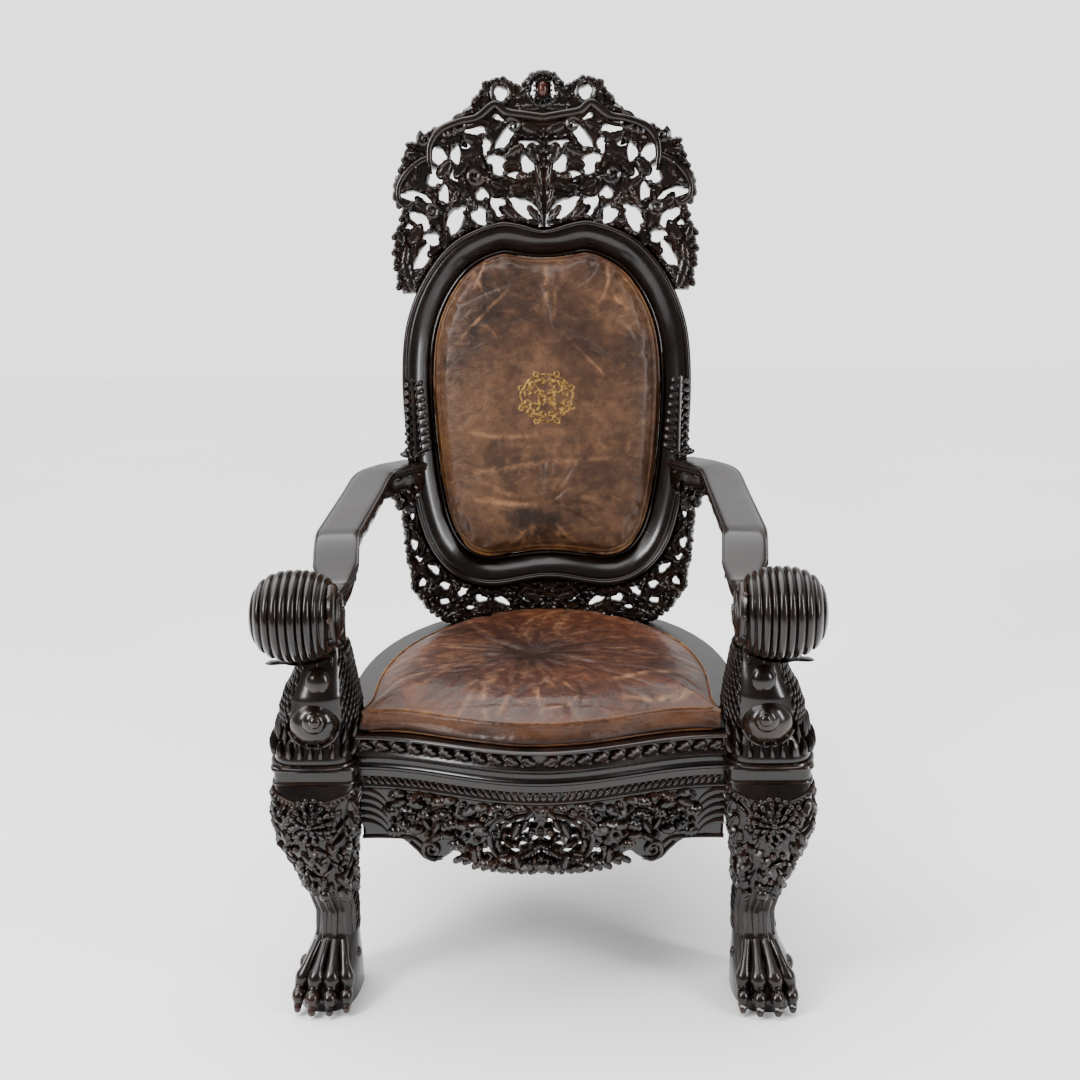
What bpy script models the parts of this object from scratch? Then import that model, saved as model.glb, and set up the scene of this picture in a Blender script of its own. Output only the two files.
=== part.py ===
"""Carved dark hardwood throne: pierced crest, scroll arms, lion's paw feet and two leather cushions.

Units are metres, +Z is up and +Y runs from the front of the seat to its back. Left and right are as seen
from the front. While the pieces are made, Y = 0 is near the front of the front legs; the last step slides
the whole chair so that its origin is the middle of its footprint, on the floor.
"""
import math

import bmesh
import bpy
import numpy as np
from mathutils import Vector
from mathutils.geometry import delaunay_2d_cdt

# Clearance between pieces that touch.
GAP = 0.0003

# Front legs: middle of the block, its half sizes and its top.
LEG_X = 0.346
LEG_Y = 0.055
LEG_HALF_WIDTH = 0.0635
LEG_HALF_DEPTH = 0.0625
LEG_TOP = 0.395
ROSETTE_RADIUS = 0.029
ROSETTE_HEIGHT = 0.322

# Arm supports stand on the legs; the scroll ends of the arms stand on them.
SUPPORT_HEIGHT = 0.179
BOSS_RADIUS = 0.019
BOSS_HEIGHT = 0.480
BLADE_THICKNESS = 0.006

# Seat deck and the rails under it. The deck's sides curve in from DECK_ROUND_START towards a point
# DECK_ROUND_REACH behind the back, and are cut off DECK_BEHIND_BACK behind it.
DECK_TOP = 0.438
DECK_THICKNESS = 0.018
DECK_SIDE_INSET = 0.029
DECK_ROUND_START = 0.234
DECK_ROUND_REACH = 0.115
DECK_ROUND_POWER = 2.2
DECK_BEHIND_BACK = 0.045
SIDE_RAIL_INSET = 0.010
SIDE_RAIL_WIDTH = 0.030
SIDE_RAIL_HEIGHT = 0.060
BACK_RAIL_WIDTH = 0.030
BACK_RAIL_HEIGHT = 0.060

# Front rail: a bowed bar with a leaf moulding above and a reeded band below.
RAIL_END_FRONT = 0.015
RAIL_BOW = 0.068
RAIL_WIDTH = 0.044
RAIL_HEIGHT = 0.088
RAIL_LEAVES = 16
RAIL_LEAF_DEPTH = 0.0055

# Apron under the front rail.
APRON_THICKNESS = 0.020
APRON_SETBACK = 0.012
APRON_END_BOTTOM = 0.261
APRON_DROP_BOTTOM = 0.237
CARTOUCHE_HALF_WIDTH = 0.068
CARTOUCHE_HALF_HEIGHT = 0.040
CARTOUCHE_HEIGHT = 0.304

# Rear legs, square and splayed backwards.
REAR_LEG_X = 0.190
REAR_LEG_AHEAD_OF_BACK = 0.013
REAR_LEG_SIDE = 0.050
REAR_FOOT_SIDE = 0.040
REAR_SPLAY_BACK = 0.085
REAR_SPLAY_OUT = 0.014

# Back: its front face leans by RAKE and passes BACK_Y at BACK_RISE above the deck; heights on it are
# measured along the lean.
RAKE = math.radians(8.0)
BACK_Y = 0.585
BACK_RISE = 0.022
BACK_HALF_WIDTH = 0.266
BACK_HEIGHT = 0.993
HOOP_WIDTH = 0.055
HOOP_PROUD = 0.026
HOOP_REAR = 0.022
CREST_FRONT = 0.012
CREST_REAR = 0.018
BOARD_FRONT = 0.006
BOARD_THICKNESS = 0.010
CUSHION_CLEARANCE = 0.003
BACK_PAD_THICKNESS = 0.046
RIB = 0.0065
MOULDING_RADIUS = 0.007
BRACKET_LIFT = 0.006
BRACKET_LENGTH = 0.139
BRACKET_THICKNESS = 0.016
BRACKET_NOTCH_WIDTH = 0.013
BRACKET_LOBE_WIDTH = 0.021

# Pierced carving: sizes of its leaf-shaped openings, and their rows over the back's height and half width.
HOLE_LENGTH = 0.040
HOLE_WIDTH = 0.019
HOLE_ROWS = 11
HOLE_ROW_START = 0.602
HOLE_ROW_STEP = 0.0312
HOLE_COLUMN_STEP = 0.188
JEWEL_DROP = 0.036
JEWEL_HALF_WIDTH = 0.0075
JEWEL_HALF_HEIGHT = 0.012

# Arms: a bend at the back, a long slope, a step down and a ribbed scroll. Insets are from the middle of
# the front leg, and the rear inset is from the hoop's side.
ARM_WIDTH = 0.070
ARM_DEPTH = 0.058
ARM_REAR_INSET = 0.016
ARM_REAR_TOP = 0.750
ARM_BEND_LENGTH = 0.080
ARM_BEND_INSET = 0.0375
ARM_FRONT_INSET = 0.0265
ARM_TIP_INSET = 0.0340
ARM_STEP_START = 0.172
ARM_STEP_END = 0.078
ARM_STEP_SHARE = 0.66
SCROLL_RADIUS = 0.068
SCROLL_AHEAD = 0.083
SCROLL_OUTER_REACH = 0.075
SCROLL_INNER_REACH = 0.062
SCROLL_RIBS = 5
RIB_DEPTH = 0.0035

# Seat cushion.
CUSHION_SIDE_ROOM = 0.0142
CUSHION_OVERHANG = 0.012
CUSHION_BACK_ROOM = 0.037
CUSHION_SIDE = 0.036
CUSHION_CROWN = 0.064

WOOD = ((0.020, 0.013, 0.011), 0.30)
POLISHED_WOOD = ((0.030, 0.022, 0.020), 0.20)
LEATHER = ((0.205, 0.085, 0.042), 0.45)

# What follows from the sizes above.
RAIL_HALF_LENGTH = LEG_X - LEG_HALF_WIDTH - GAP
APRON_TOP = DECK_TOP - RAIL_HEIGHT - GAP
DECK_BOTTOM = DECK_TOP - DECK_THICKNESS
DECK_HALF_WIDTH = LEG_X - DECK_SIDE_INSET
DECK_ROUND_END = BACK_Y + DECK_ROUND_REACH
DECK_REAR = BACK_Y + DECK_BEHIND_BACK
REAR_LEG_Y = BACK_Y - REAR_LEG_AHEAD_OF_BACK
BACK_Z = DECK_TOP + BACK_RISE
BRACKET_LOW = (ARM_REAR_TOP - BACK_Z) / math.cos(RAKE) + BRACKET_LIFT
CUSHION_HALF_WIDTH = RAIL_HALF_LENGTH - CUSHION_SIDE_ROOM
CUSHION_REAR = BACK_Y - CUSHION_BACK_ROOM
SUPPORT_BOTTOM = LEG_TOP + GAP
SUPPORT_TOP = SUPPORT_BOTTOM + SUPPORT_HEIGHT
ARM_REAR_X = BACK_HALF_WIDTH - ARM_REAR_INSET
SCROLL_Y = LEG_Y - SCROLL_AHEAD
SCROLL_Z = SUPPORT_TOP + GAP + SCROLL_RADIUS
SCROLL_OUTER_X = LEG_X + SCROLL_OUTER_REACH
SCROLL_INNER_X = LEG_X - SCROLL_INNER_REACH

# The outline of the hoop's right half, top centre to bottom centre, as shares of the back's half width
# and of its height.
HOOP_SHAPE = (
    (0.0, 0.712), (0.18, 0.724), (0.335, 0.726), (0.62, 0.694), (0.83, 0.630), (0.96, 0.548),
    (1.0, 0.455), (0.985, 0.340), (0.93, 0.215), (0.83, 0.126), (0.65, 0.072), (0.40, 0.052), (0.0, 0.066),
)
HOOP_STEPS = 56
JOINT_STEP = 21

# The free edge of the crest's right half, from its top leaf to its lowest tip.
CREST_SHAPE = (
    (0.0, 1.0), (0.09, 0.993), (0.165, 0.968), (0.30, 0.984), (0.43, 0.962), (0.53, 0.930), (0.66, 0.906),
    (0.76, 0.899), (0.825, 0.877), (0.93, 0.864), (0.955, 0.838), (1.03, 0.805), (1.03, 0.772),
    (0.97, 0.750), (1.02, 0.705), (1.03, 0.655), (0.99, 0.600),
)

# The smooth moulding that runs from the jewel down to the C-scroll at the side.
MOULDING_SHAPE = (
    (0.33, 0.938), (0.45, 0.915), (0.57, 0.908), (0.70, 0.894), (0.77, 0.872), (0.79, 0.845),
    (0.93, 0.820), (1.0, 0.795), (0.985, 0.770), (0.93, 0.756),
)

# The free edge of the lower carving's right half, from under the arm down to its foot on the deck, where
# LOWER_FOOT_SHARE is the half width of that foot.
LOWER_SHAPE = (
    (1.0, 0.240), (1.03, 0.190), (1.01, 0.135), (0.985, 0.085), (0.95, 0.040), (0.83, 0.002),
)
LOWER_FOOT_SHARE = 0.70


def clear_scene():
    for old in list(bpy.data.objects):
        bpy.data.objects.remove(old, do_unlink=True)


def smooth_path(points, count, closed=False):
    """Evenly spaced points on a smooth curve through the points given."""
    points = [Vector(point) for point in points]
    if closed:
        framed = [points[-1], *points, points[0], points[1]]
    else:
        framed = [2 * points[0] - points[1], *points, 2 * points[-1] - points[-2]]
    fine = []
    steps = 12
    for start in range(len(framed) - 3):
        a, b, c, d = framed[start:start + 4]
        for step in range(steps):
            t = step / steps
            fine.append(0.5 * (2 * b + t * (c - a) + t * t * (2 * a - 5 * b + 4 * c - d)
                               + t ** 3 * (3 * b - a - 3 * c + d)))
    fine.append(framed[-2].copy())
    lengths = [(second - first).length for first, second in zip(fine, fine[1:])]
    along = np.concatenate([[0.0], np.cumsum(lengths)])
    wanted = np.linspace(0.0, along[-1], count + 1 if closed else count)
    columns = [np.interp(wanted, along, [point[axis] for point in fine]) for axis in range(len(points[0]))]
    spaced = [Vector(values) for values in zip(*columns)]
    return spaced[:-1] if closed else spaced


def scaled(shape):
    """Shares of the back's half width and height as real sizes."""
    return [(across * BACK_HALF_WIDTH, up * BACK_HEIGHT) for across, up in shape]


def normals_of(loop):
    """The outward direction at each point of a clockwise closed loop."""
    found = []
    for index in range(len(loop)):
        run = loop[(index + 1) % len(loop)] - loop[index - 1]
        found.append(Vector((-run.y, run.x)).normalized())
    return found


def hoop_outline():
    """The hoop's outer edge, clockwise from its top centre."""
    half = scaled(HOOP_SHAPE)
    mirrored = [(-across, up) for across, up in reversed(half[1:-1])]
    return smooth_path(half + mirrored, HOOP_STEPS, closed=True)


HOOP = hoop_outline()
HOOP_NORMALS = normals_of(HOOP)


def hoop_offset(step, distance):
    """A point beside the hoop's outer edge, outside it where the distance is positive."""
    return HOOP[step % HOOP_STEPS] + HOOP_NORMALS[step % HOOP_STEPS] * distance


def inside(point, loop):
    """Whether a flat point lies inside a closed loop."""
    crossings = 0
    for first, second in zip(loop, [*loop[1:], loop[0]]):
        if (first[1] > point[1]) != (second[1] > point[1]):
            share = (point[1] - first[1]) / (second[1] - first[1])
            crossings += point[0] < first[0] + share * (second[0] - first[0])
    return crossings % 2 == 1


def distance_to(point, loop):
    """How far a flat point is from the nearest edge of a closed loop."""
    best = math.inf
    for first, second in zip(loop, [*loop[1:], loop[0]]):
        edge = Vector(second) - Vector(first)
        share = (Vector(point) - Vector(first)).dot(edge) / max(edge.length_squared, 1e-12)
        nearest = Vector(first) + edge * min(1.0, max(0.0, share))
        best = min(best, (Vector(point) - nearest).length)
    return best


def leaf_hole(across, up, length, width, angle):
    """A pointed oval opening, counter-clockwise."""
    turn = Vector((math.cos(angle), math.sin(angle)))
    side = Vector((-turn.y, turn.x))
    shape = ((0.5, 0.0), (0.18, 0.5), (-0.18, 0.5), (-0.5, 0.0), (-0.18, -0.5), (0.18, -0.5))
    return [Vector((across, up)) + turn * (run * length) + side * (out * width) for run, out in shape]


def keep_clear(holes, outline, rib):
    """The holes that leave a rib of wood to the outline and to the holes before them."""
    kept = []
    for hole in holes:
        apart = all(inside(point, outline) and distance_to(point, outline) > rib for point in hole)
        for other in kept:
            apart = apart and all(distance_to(point, other) > rib for point in hole)
            apart = apart and not any(inside(point, other) for point in hole)
        if apart:
            kept.append(hole)
    return kept


def mirrored_holes(holes):
    return [[Vector((-point.x, point.y)) for point in reversed(hole)] for hole in holes]


def pierced_sheet(outline, holes):
    """Flat points and triangles that fill an outline and leave its holes open."""
    points, edges = [], []
    for loop in [outline, *holes]:
        first = len(points)
        points += [Vector(point) for point in loop]
        edges += [(first + step, first + (step + 1) % len(loop)) for step in range(len(loop))]
    found, _, triangles, *_ = delaunay_2d_cdt(points, edges, [], 0, 1e-7)
    kept = []
    for triangle in triangles:
        corners = [found[index] for index in triangle]
        middle = sum(corners, Vector((0.0, 0.0))) / 3
        if inside(middle, outline) and not any(inside(middle, hole) for hole in holes):
            turn = (corners[1] - corners[0]).cross(corners[2] - corners[0])
            kept.append(tuple(triangle) if turn > 0 else tuple(reversed(triangle)))
    return found, kept


def thick_sheet(outline, holes, front, back):
    """A solid between two faces; front and back place each flat point."""
    points, triangles = pierced_sheet(outline, holes)
    count = len(points)
    vertices = [front(point) for point in points] + [back(point) for point in points]
    sides = {(first, second) for a, b, c in triangles for first, second in ((a, b), (b, c), (c, a))}
    faces = [tuple(triangle) for triangle in triangles]
    faces += [tuple(index + count for index in reversed(triangle)) for triangle in triangles]
    for first, second in sorted(sides):
        if (second, first) not in sides:
            faces.append((second, first, first + count, second + count))
    return vertices, faces


def loft(rings):
    """A solid skinned over rings of equally many points, closed at both ends."""
    count = len(rings[0])
    vertices = [point for ring in rings for point in ring]
    faces = []
    for row in range(len(rings) - 1):
        low, high = row * count, (row + 1) * count
        for step in range(count):
            after = (step + 1) % count
            faces.append((low + step, low + after, high + after, high + step))
    faces.append(tuple(range(count - 1, -1, -1)))
    faces.append(tuple(range(len(vertices) - count, len(vertices))))
    return vertices, faces


def make_finish(name, colour, roughness):
    finish = bpy.data.materials.new(name)
    finish.use_nodes = True
    shader = finish.node_tree.nodes["Principled BSDF"]
    shader.inputs["Base Color"].default_value = (*colour, 1.0)
    shader.inputs["Roughness"].default_value = roughness
    shader.inputs["Metallic"].default_value = 0.0
    return finish


def make_solid(name, solid, finish, parent=None, helper=False):
    """An object from vertices and faces; a helper only shapes another piece."""
    vertices, faces = solid
    shape = bmesh.new()
    made = [shape.verts.new(point) for point in vertices]
    for face in faces:
        shape.faces.new([made[index] for index in face])
    bmesh.ops.recalc_face_normals(shape, faces=shape.faces)
    mesh = bpy.data.meshes.new(name)
    shape.to_mesh(mesh)
    shape.free()
    mesh.materials.append(make_finish(name + "_finish", *finish))
    mesh.shade_smooth()
    mesh.set_sharp_from_angle(angle=math.radians(38.0))
    piece = bpy.data.objects.new(name, mesh)
    bpy.context.scene.collection.objects.link(piece)
    piece.parent = parent
    if helper:
        piece.hide_render = True
        piece.display_type = "WIRE"
    return piece


def grow_from(piece, helper):
    """Joins a helper's solid to a piece, as carved from one block with it."""
    union = piece.modifiers.new(helper.name, "BOOLEAN")
    union.operation = "UNION"
    union.solver = "EXACT"
    union.object = helper


def place_empty(name, location, tilt=0.0):
    guide = bpy.data.objects.new(name, None)
    guide.location = location
    guide.rotation_euler = (tilt, 0.0, 0.0)
    bpy.context.scene.collection.objects.link(guide)
    return guide


def on_back(flat, depth):
    """A point of the back, in the leaning empty's own axes; depth grows to the rear."""
    return Vector((flat[0], depth, flat[1]))


def plate_on_back(outline, holes, front, back):
    return thick_sheet(outline, holes, lambda p: on_back(p, front), lambda p: on_back(p, back))


def hoop_profile():
    """The hoop's section: share of the way in from its outer edge, and depth."""
    return (
        (0.0, HOOP_REAR), (0.0, -0.60 * HOOP_PROUD), (0.10, -HOOP_PROUD),
        (0.22, -0.85 * HOOP_PROUD), (0.42, -0.30 * HOOP_PROUD), (0.70, -0.10 * HOOP_PROUD),
        (1.0, -0.25 * HOOP_PROUD), (1.0, HOOP_REAR),
    )


def hoop_part(name, first, last, parent):
    """One length of the hoop between two steps of its outline."""
    rings = []
    for step in range(first, last + 1):
        along = (HOOP[(step + 1) % HOOP_STEPS] - HOOP[(step - 1) % HOOP_STEPS]).normalized()
        trim = GAP if step == first else -GAP if step == last else 0.0
        rings.append([on_back(hoop_offset(step, -HOOP_WIDTH * share) + along * trim, depth)
                      for share, depth in hoop_profile()])
    return make_solid(name, loft(rings), WOOD, parent)


def ball(centre, radii, around=10, rows=5):
    """A closed egg shape about a point."""
    rings = []
    for row in range(rows):
        lift = math.radians(-80.0 + 160.0 * row / (rows - 1))
        rings.append([Vector((centre[0] + radii[0] * math.cos(lift) * math.cos(turn),
                              centre[1] + radii[1] * math.cos(lift) * math.sin(turn),
                              centre[2] + radii[2] * math.sin(lift)))
                      for turn in (2 * math.pi * step / around for step in range(around))])
    return loft(rings)


def bar_along(points, radius, sides, aside):
    """A closed bar along a path; aside is the direction that the bar's flat sides turn to."""
    rings = []
    for step, point in enumerate(points):
        run = (points[min(step + 1, len(points) - 1)] - points[max(step - 1, 0)]).normalized()
        across = run.cross(aside).normalized()
        rings.append([point + radius * (math.cos(turn) * across + math.sin(turn) * aside)
                      for turn in (2 * math.pi * side / sides for side in range(sides))])
    return loft(rings)


def crest_outline():
    edge = smooth_path(scaled(CREST_SHAPE), 31)
    reach = max(step for step in range(HOOP_STEPS // 2) if HOOP[step].y > edge[-1].y)
    foot = [hoop_offset(step, 2 * GAP) for step in range(reach, 0, -1)]
    right = edge + foot
    middle = hoop_offset(0, 2 * GAP)
    left = [Vector((-point.x, point.y)) for point in reversed(right[1:])]
    return right + [middle] + left


def crest_holes(outline):
    """Two slits beside the jewel, two loops, then rows of leaf-shaped gaps between the scrolls."""
    jewel_height = BACK_HEIGHT - JEWEL_DROP
    slit = (0.068 * BACK_HALF_WIDTH, jewel_height)
    loop = (0.290 * BACK_HALF_WIDTH, jewel_height - 0.5 * JEWEL_HALF_HEIGHT)
    holes = [leaf_hole(*slit, 0.60 * HOLE_LENGTH, 0.42 * HOLE_WIDTH, math.radians(98)),
             leaf_hole(*loop, 0.65 * HOLE_LENGTH, 0.95 * HOLE_WIDTH, math.radians(80))]
    for row in range(HOLE_ROWS):
        up = (HOLE_ROW_START + HOLE_ROW_STEP * row) * BACK_HEIGHT
        for place in range(6):
            across = HOLE_COLUMN_STEP * BACK_HALF_WIDTH * (place + (0.5 if row % 2 else 0.88))
            lean = math.radians(35 if (row + place) % 2 else 142)
            holes.append(leaf_hole(across, up, HOLE_LENGTH, HOLE_WIDTH, lean))
    kept = keep_clear(holes, outline, RIB)
    return kept + mirrored_holes(kept)


def make_crest(parent):
    outline = crest_outline()
    plate = plate_on_back(outline, crest_holes(outline), -CREST_FRONT, CREST_REAR)
    crest = make_solid("crest_carving", plate, WOOD, parent)
    forward = Vector((0.0, -1.0, 0.0))
    for name, side in (("left", -1), ("right", 1)):
        path = [on_back((side * point.x, point.y), -CREST_FRONT)
                for point in smooth_path(scaled(MOULDING_SHAPE), 12)]
        bar = make_solid("crest_moulding_" + name, bar_along(path, MOULDING_RADIUS, 5, forward),
                         WOOD, parent, helper=True)
        grow_from(crest, bar)
    jewel = ball((0.0, -CREST_FRONT, BACK_HEIGHT - JEWEL_DROP),
                 (JEWEL_HALF_WIDTH, JEWEL_HALF_HEIGHT, JEWEL_HALF_HEIGHT))
    grow_from(crest, make_solid("crest_jewel", jewel, WOOD, parent, helper=True))


def make_lower_carving(parent):
    foot = (DECK_TOP + GAP - BACK_Z + CREST_REAR * math.sin(RAKE)) / math.cos(RAKE)
    free_edge = smooth_path([*scaled(LOWER_SHAPE), (LOWER_FOOT_SHARE * BACK_HALF_WIDTH, foot)], 16)
    flat_foot = [Vector((point, foot)) for point in np.linspace(free_edge[-1].x, 0.0, 8)[1:]]
    edge = [Vector((point.x, max(point.y, foot))) for point in free_edge] + flat_foot
    start = min(step for step in range(HOOP_STEPS // 2) if HOOP[step].y < edge[0].y)
    border = [hoop_offset(step, 2 * GAP) for step in range(start, HOOP_STEPS // 2 + 1)]
    right = list(reversed(border)) + edge
    left = [Vector((-point.x, point.y)) for point in reversed(right[1:-1])]
    outline = right + left
    holes = []
    count = 9
    along_edge = smooth_path(edge, count)
    along_hoop = smooth_path(border, count)
    for step in range(1, count):
        low, high = along_edge[step], along_hoop[step]
        room = (high - low).length
        run = along_edge[step] - along_edge[step - 1]
        middle = (low + high) / 2
        holes.append(leaf_hole(middle.x, middle.y, 0.9 * HOLE_LENGTH, 0.42 * room, math.atan2(run.y, run.x)))
    kept = keep_clear([hole for hole in holes if min(point.x for point in hole) > RIB], outline, RIB * 0.8)
    plate = plate_on_back(outline, kept + mirrored_holes(kept), -CREST_FRONT, CREST_REAR)
    make_solid("lower_carving", plate, WOOD, parent)


def make_back_board(parent):
    edge = [hoop_offset(step, -HOOP_WIDTH - GAP) for step in range(HOOP_STEPS)]
    make_solid("back_board", plate_on_back(edge, [], BOARD_FRONT, BOARD_FRONT + BOARD_THICKNESS),
               WOOD, parent)


def make_back_cushion(parent):
    """A pillow that fills the hoop, thin at its edge and full over its middle."""
    rear = BOARD_FRONT - GAP
    edge = [hoop_offset(step, -HOOP_WIDTH - CUSHION_CLEARANCE) for step in range(0, HOOP_STEPS, 2)]
    middle = sum(edge, Vector((0.0, 0.0))) / len(edge)
    rings = []
    for size, share in ((1.0, 0.0), (1.0, 0.36), (0.975, 0.56), (0.89, 0.80), (0.72, 0.94), (0.45, 1.0)):
        rings.append([on_back(middle + (point - middle) * size, rear - share * BACK_PAD_THICKNESS)
                      for point in edge])
    make_solid("back_cushion", loft(rings), LEATHER, parent)


def make_bracket(name, side, parent):
    """A leaf with herringbone lobes, carved up the hoop above an arm."""
    rows = 6
    lobe = BRACKET_LENGTH / rows
    spine_low, spine_high = 0.906 * BACK_HALF_WIDTH, 0.925 * BACK_HALF_WIDTH
    right, left = [], []
    for row in range(rows):
        for share, width in ((0.0, BRACKET_NOTCH_WIDTH), (0.72, BRACKET_LOBE_WIDTH)):
            up = BRACKET_LOW + lobe * (row + share)
            spine = spine_low + (spine_high - spine_low) * row / rows
            half = width * (1.0 - 0.45 * (row / rows) ** 1.6)
            right.append(Vector((side * (spine + half), up)))
            left.append(Vector((side * (spine - half), up)))
    tip = Vector((side * spine_high, BRACKET_LOW + BRACKET_LENGTH))
    outline = right + [tip] + list(reversed(left))
    face = -HOOP_PROUD - GAP
    make_solid(name, plate_on_back(outline, [], face - BRACKET_THICKNESS, face), WOOD, parent)


def oval_ring(height, inner, outer, front, rear, power, toes=0.0):
    """One level of a leg or a support.

    The four reaches are x and y positions. The front has nine points, so that four toes, each a swelling
    between two notches, fall on them; the rear has seven.
    """
    centre_x, half_x = (inner + outer) / 2, (outer - inner) / 2
    ring = []
    for step in range(9):
        share = -1 + step / 4
        bulge = (1 - abs(share) ** power) ** (1 / power)
        notch = toes if step % 2 == 0 and step not in (0, 8) else 0.0
        ring.append(Vector((centre_x + half_x * share, front * bulge + notch, height)))
    for step in range(7):
        share = 0.94 - 1.88 * step / 6
        bulge = (1 - abs(share) ** power) ** (1 / power)
        ring.append(Vector((centre_x + half_x * share, rear * bulge, height)))
    return ring


# Levels of a front leg: height as a share of its top; then inner, outer, front and rear reach in half
# widths and half depths of the block; squareness; depth of the notches between toes or folds.
LEG_LEVELS = (
    (0.000, -0.80, 0.78, -1.72, 0.62, 2.6, 0.013), (0.050, -0.82, 0.80, -1.80, 0.64, 2.6, 0.014),
    (0.105, -0.82, 0.71, -1.52, 0.62, 2.4, 0.011), (0.135, -0.81, 0.63, -1.28, 0.62, 2.4, 0.006),
    (0.185, -0.78, 0.46, -0.88, 0.60, 2.2, 0.004), (0.255, -0.76, 0.32, -0.58, 0.56, 2.2, 0.002),
    (0.345, -0.76, 0.28, -0.50, 0.56, 2.2, 0.002), (0.430, -0.73, 0.44, -0.72, 0.58, 2.2, 0.0),
    (0.545, -0.72, 0.66, -1.02, 0.66, 2.4, 0.004), (0.670, -0.80, 1.02, -1.38, 0.80, 2.6, 0.006),
    (0.760, -0.90, 1.15, -1.46, 0.90, 3.0, 0.004), (0.845, -0.96, 1.11, -1.36, 0.98, 3.5, 0.0),
    (0.915, -1.00, 1.07, -1.14, 1.00, 5.0, 0.0), (0.935, -1.00, 1.00, -1.00, 1.00, 8.0, 0.0),
    (1.000, -1.00, 1.00, -1.00, 1.00, 8.0, 0.0),
)

# Levels of an arm support, in the same terms, from the leaf collar to the neck.
SUPPORT_LEVELS = (
    (0.00, -1.00, 1.08, -1.12, 1.00, 3.5, 0.006), (0.06, -1.00, 1.14, -1.24, 1.00, 3.0, 0.007),
    (0.17, -1.00, 1.06, -1.16, 1.00, 3.0, 0.006), (0.26, -1.00, 0.88, -0.94, 0.96, 2.4, 0.0),
    (0.34, -1.05, 0.87, -0.98, 0.98, 2.2, 0.0), (0.46, -1.07, 0.85, -1.04, 0.98, 2.2, 0.0),
    (0.60, -1.02, 0.72, -1.00, 0.94, 2.2, 0.0), (0.74, -0.95, 0.50, -0.84, 0.90, 2.2, 0.0),
    (0.88, -0.87, 0.32, -0.62, 0.88, 2.4, 0.0), (1.00, -0.77, 0.23, -0.50, 0.90, 2.6, 0.0),
)


def rings_of(levels, bottom, height, side):
    rings = []
    for share, inner, outer, front, rear, power, toes in levels:
        ring = oval_ring(bottom + share * height, LEG_X + inner * LEG_HALF_WIDTH,
                         LEG_X + outer * LEG_HALF_WIDTH, front * LEG_HALF_DEPTH,
                         rear * LEG_HALF_DEPTH, power, toes)
        rings.append([Vector((side * point.x, LEG_Y + point.y, point.z)) for point in ring])
    return rings


def rosette(centre, radius, petals, depth):
    """A flower that faces forward: a scalloped disc that swells to its middle."""
    rings = []
    for forward, share in ((-0.5, 0.80), (0.35, 1.0), (0.75, 0.72), (1.0, 0.28)):
        ring = []
        for step in range(2 * petals):
            reach = radius * share * (1.0 if step % 2 == 0 or share < 0.5 else 0.82)
            turn = math.pi * step / petals
            ring.append(Vector((centre[0] + reach * math.cos(turn), centre[1] - forward * depth,
                                centre[2] + reach * math.sin(turn))))
        rings.append(ring)
    return loft(rings)


def make_front_leg(name, side):
    leg = make_solid(name, loft(rings_of(LEG_LEVELS, 0.0, LEG_TOP, side)), WOOD)
    front = LEG_Y - 1.40 * LEG_HALF_DEPTH
    flower = rosette((side * LEG_X, front, ROSETTE_HEIGHT), ROSETTE_RADIUS, 7, 0.012)
    grow_from(leg, make_solid(name + "_rosette", flower, WOOD, helper=True))


def make_support(name, side):
    support = make_solid(name, loft(rings_of(SUPPORT_LEVELS, SUPPORT_BOTTOM, SUPPORT_HEIGHT, side)), WOOD)
    boss = ball((side * (LEG_X + 0.004), LEG_Y - LEG_HALF_DEPTH, BOSS_HEIGHT),
                (BOSS_RADIUS, BOSS_RADIUS, BOSS_RADIUS), around=8)
    grow_from(support, make_solid(name + "_boss", boss, WOOD, helper=True))
    grow_from(support, make_solid(name + "_blade", neck_blade(side), WOOD, helper=True))


def neck_blade(side):
    """A thin pointed leaf that spreads forward and outward under the scroll."""
    shape = ((-0.10, 0.0), (0.55, -0.30), (1.08, -0.85), (0.75, -1.36), (0.20, -1.40), (-0.20, -0.90))
    outline = [Vector((side * (LEG_X + across * LEG_HALF_WIDTH), LEG_Y + back * LEG_HALF_DEPTH))
               for across, back in shape]
    top = SUPPORT_TOP - 0.25 * BLADE_THICKNESS
    return thick_sheet(outline, [], lambda p: Vector((p.x, p.y, top)),
                       lambda p: Vector((p.x, p.y, top - BLADE_THICKNESS)))


def back_plane_y(height, proud):
    """Y of a point at a height that stands proud of the leaning back's front face."""
    along = (height - BACK_Z - proud * math.sin(RAKE)) / math.cos(RAKE)
    return BACK_Y + along * math.sin(RAKE) - proud * math.cos(RAKE)


def arm_section():
    """Half of the arm's section from the middle of its top: distance out, distance down."""
    half = ARM_WIDTH / 2
    return ((0.90 * half, 0.0), (half, 0.10 * ARM_DEPTH), (half, 0.24 * ARM_DEPTH),
            (0.82 * half, 0.34 * ARM_DEPTH), (0.78 * half, 0.80 * ARM_DEPTH), (0.60 * half, ARM_DEPTH))


def arm_ring(centre, heading):
    across = Vector((heading.y, -heading.x, 0.0)).normalized()
    right = [centre + across * out - Vector((0.0, 0.0, down)) for out, down in arm_section()]
    left = [centre - across * out - Vector((0.0, 0.0, down)) for out, down in reversed(arm_section())]
    return right + left


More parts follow.
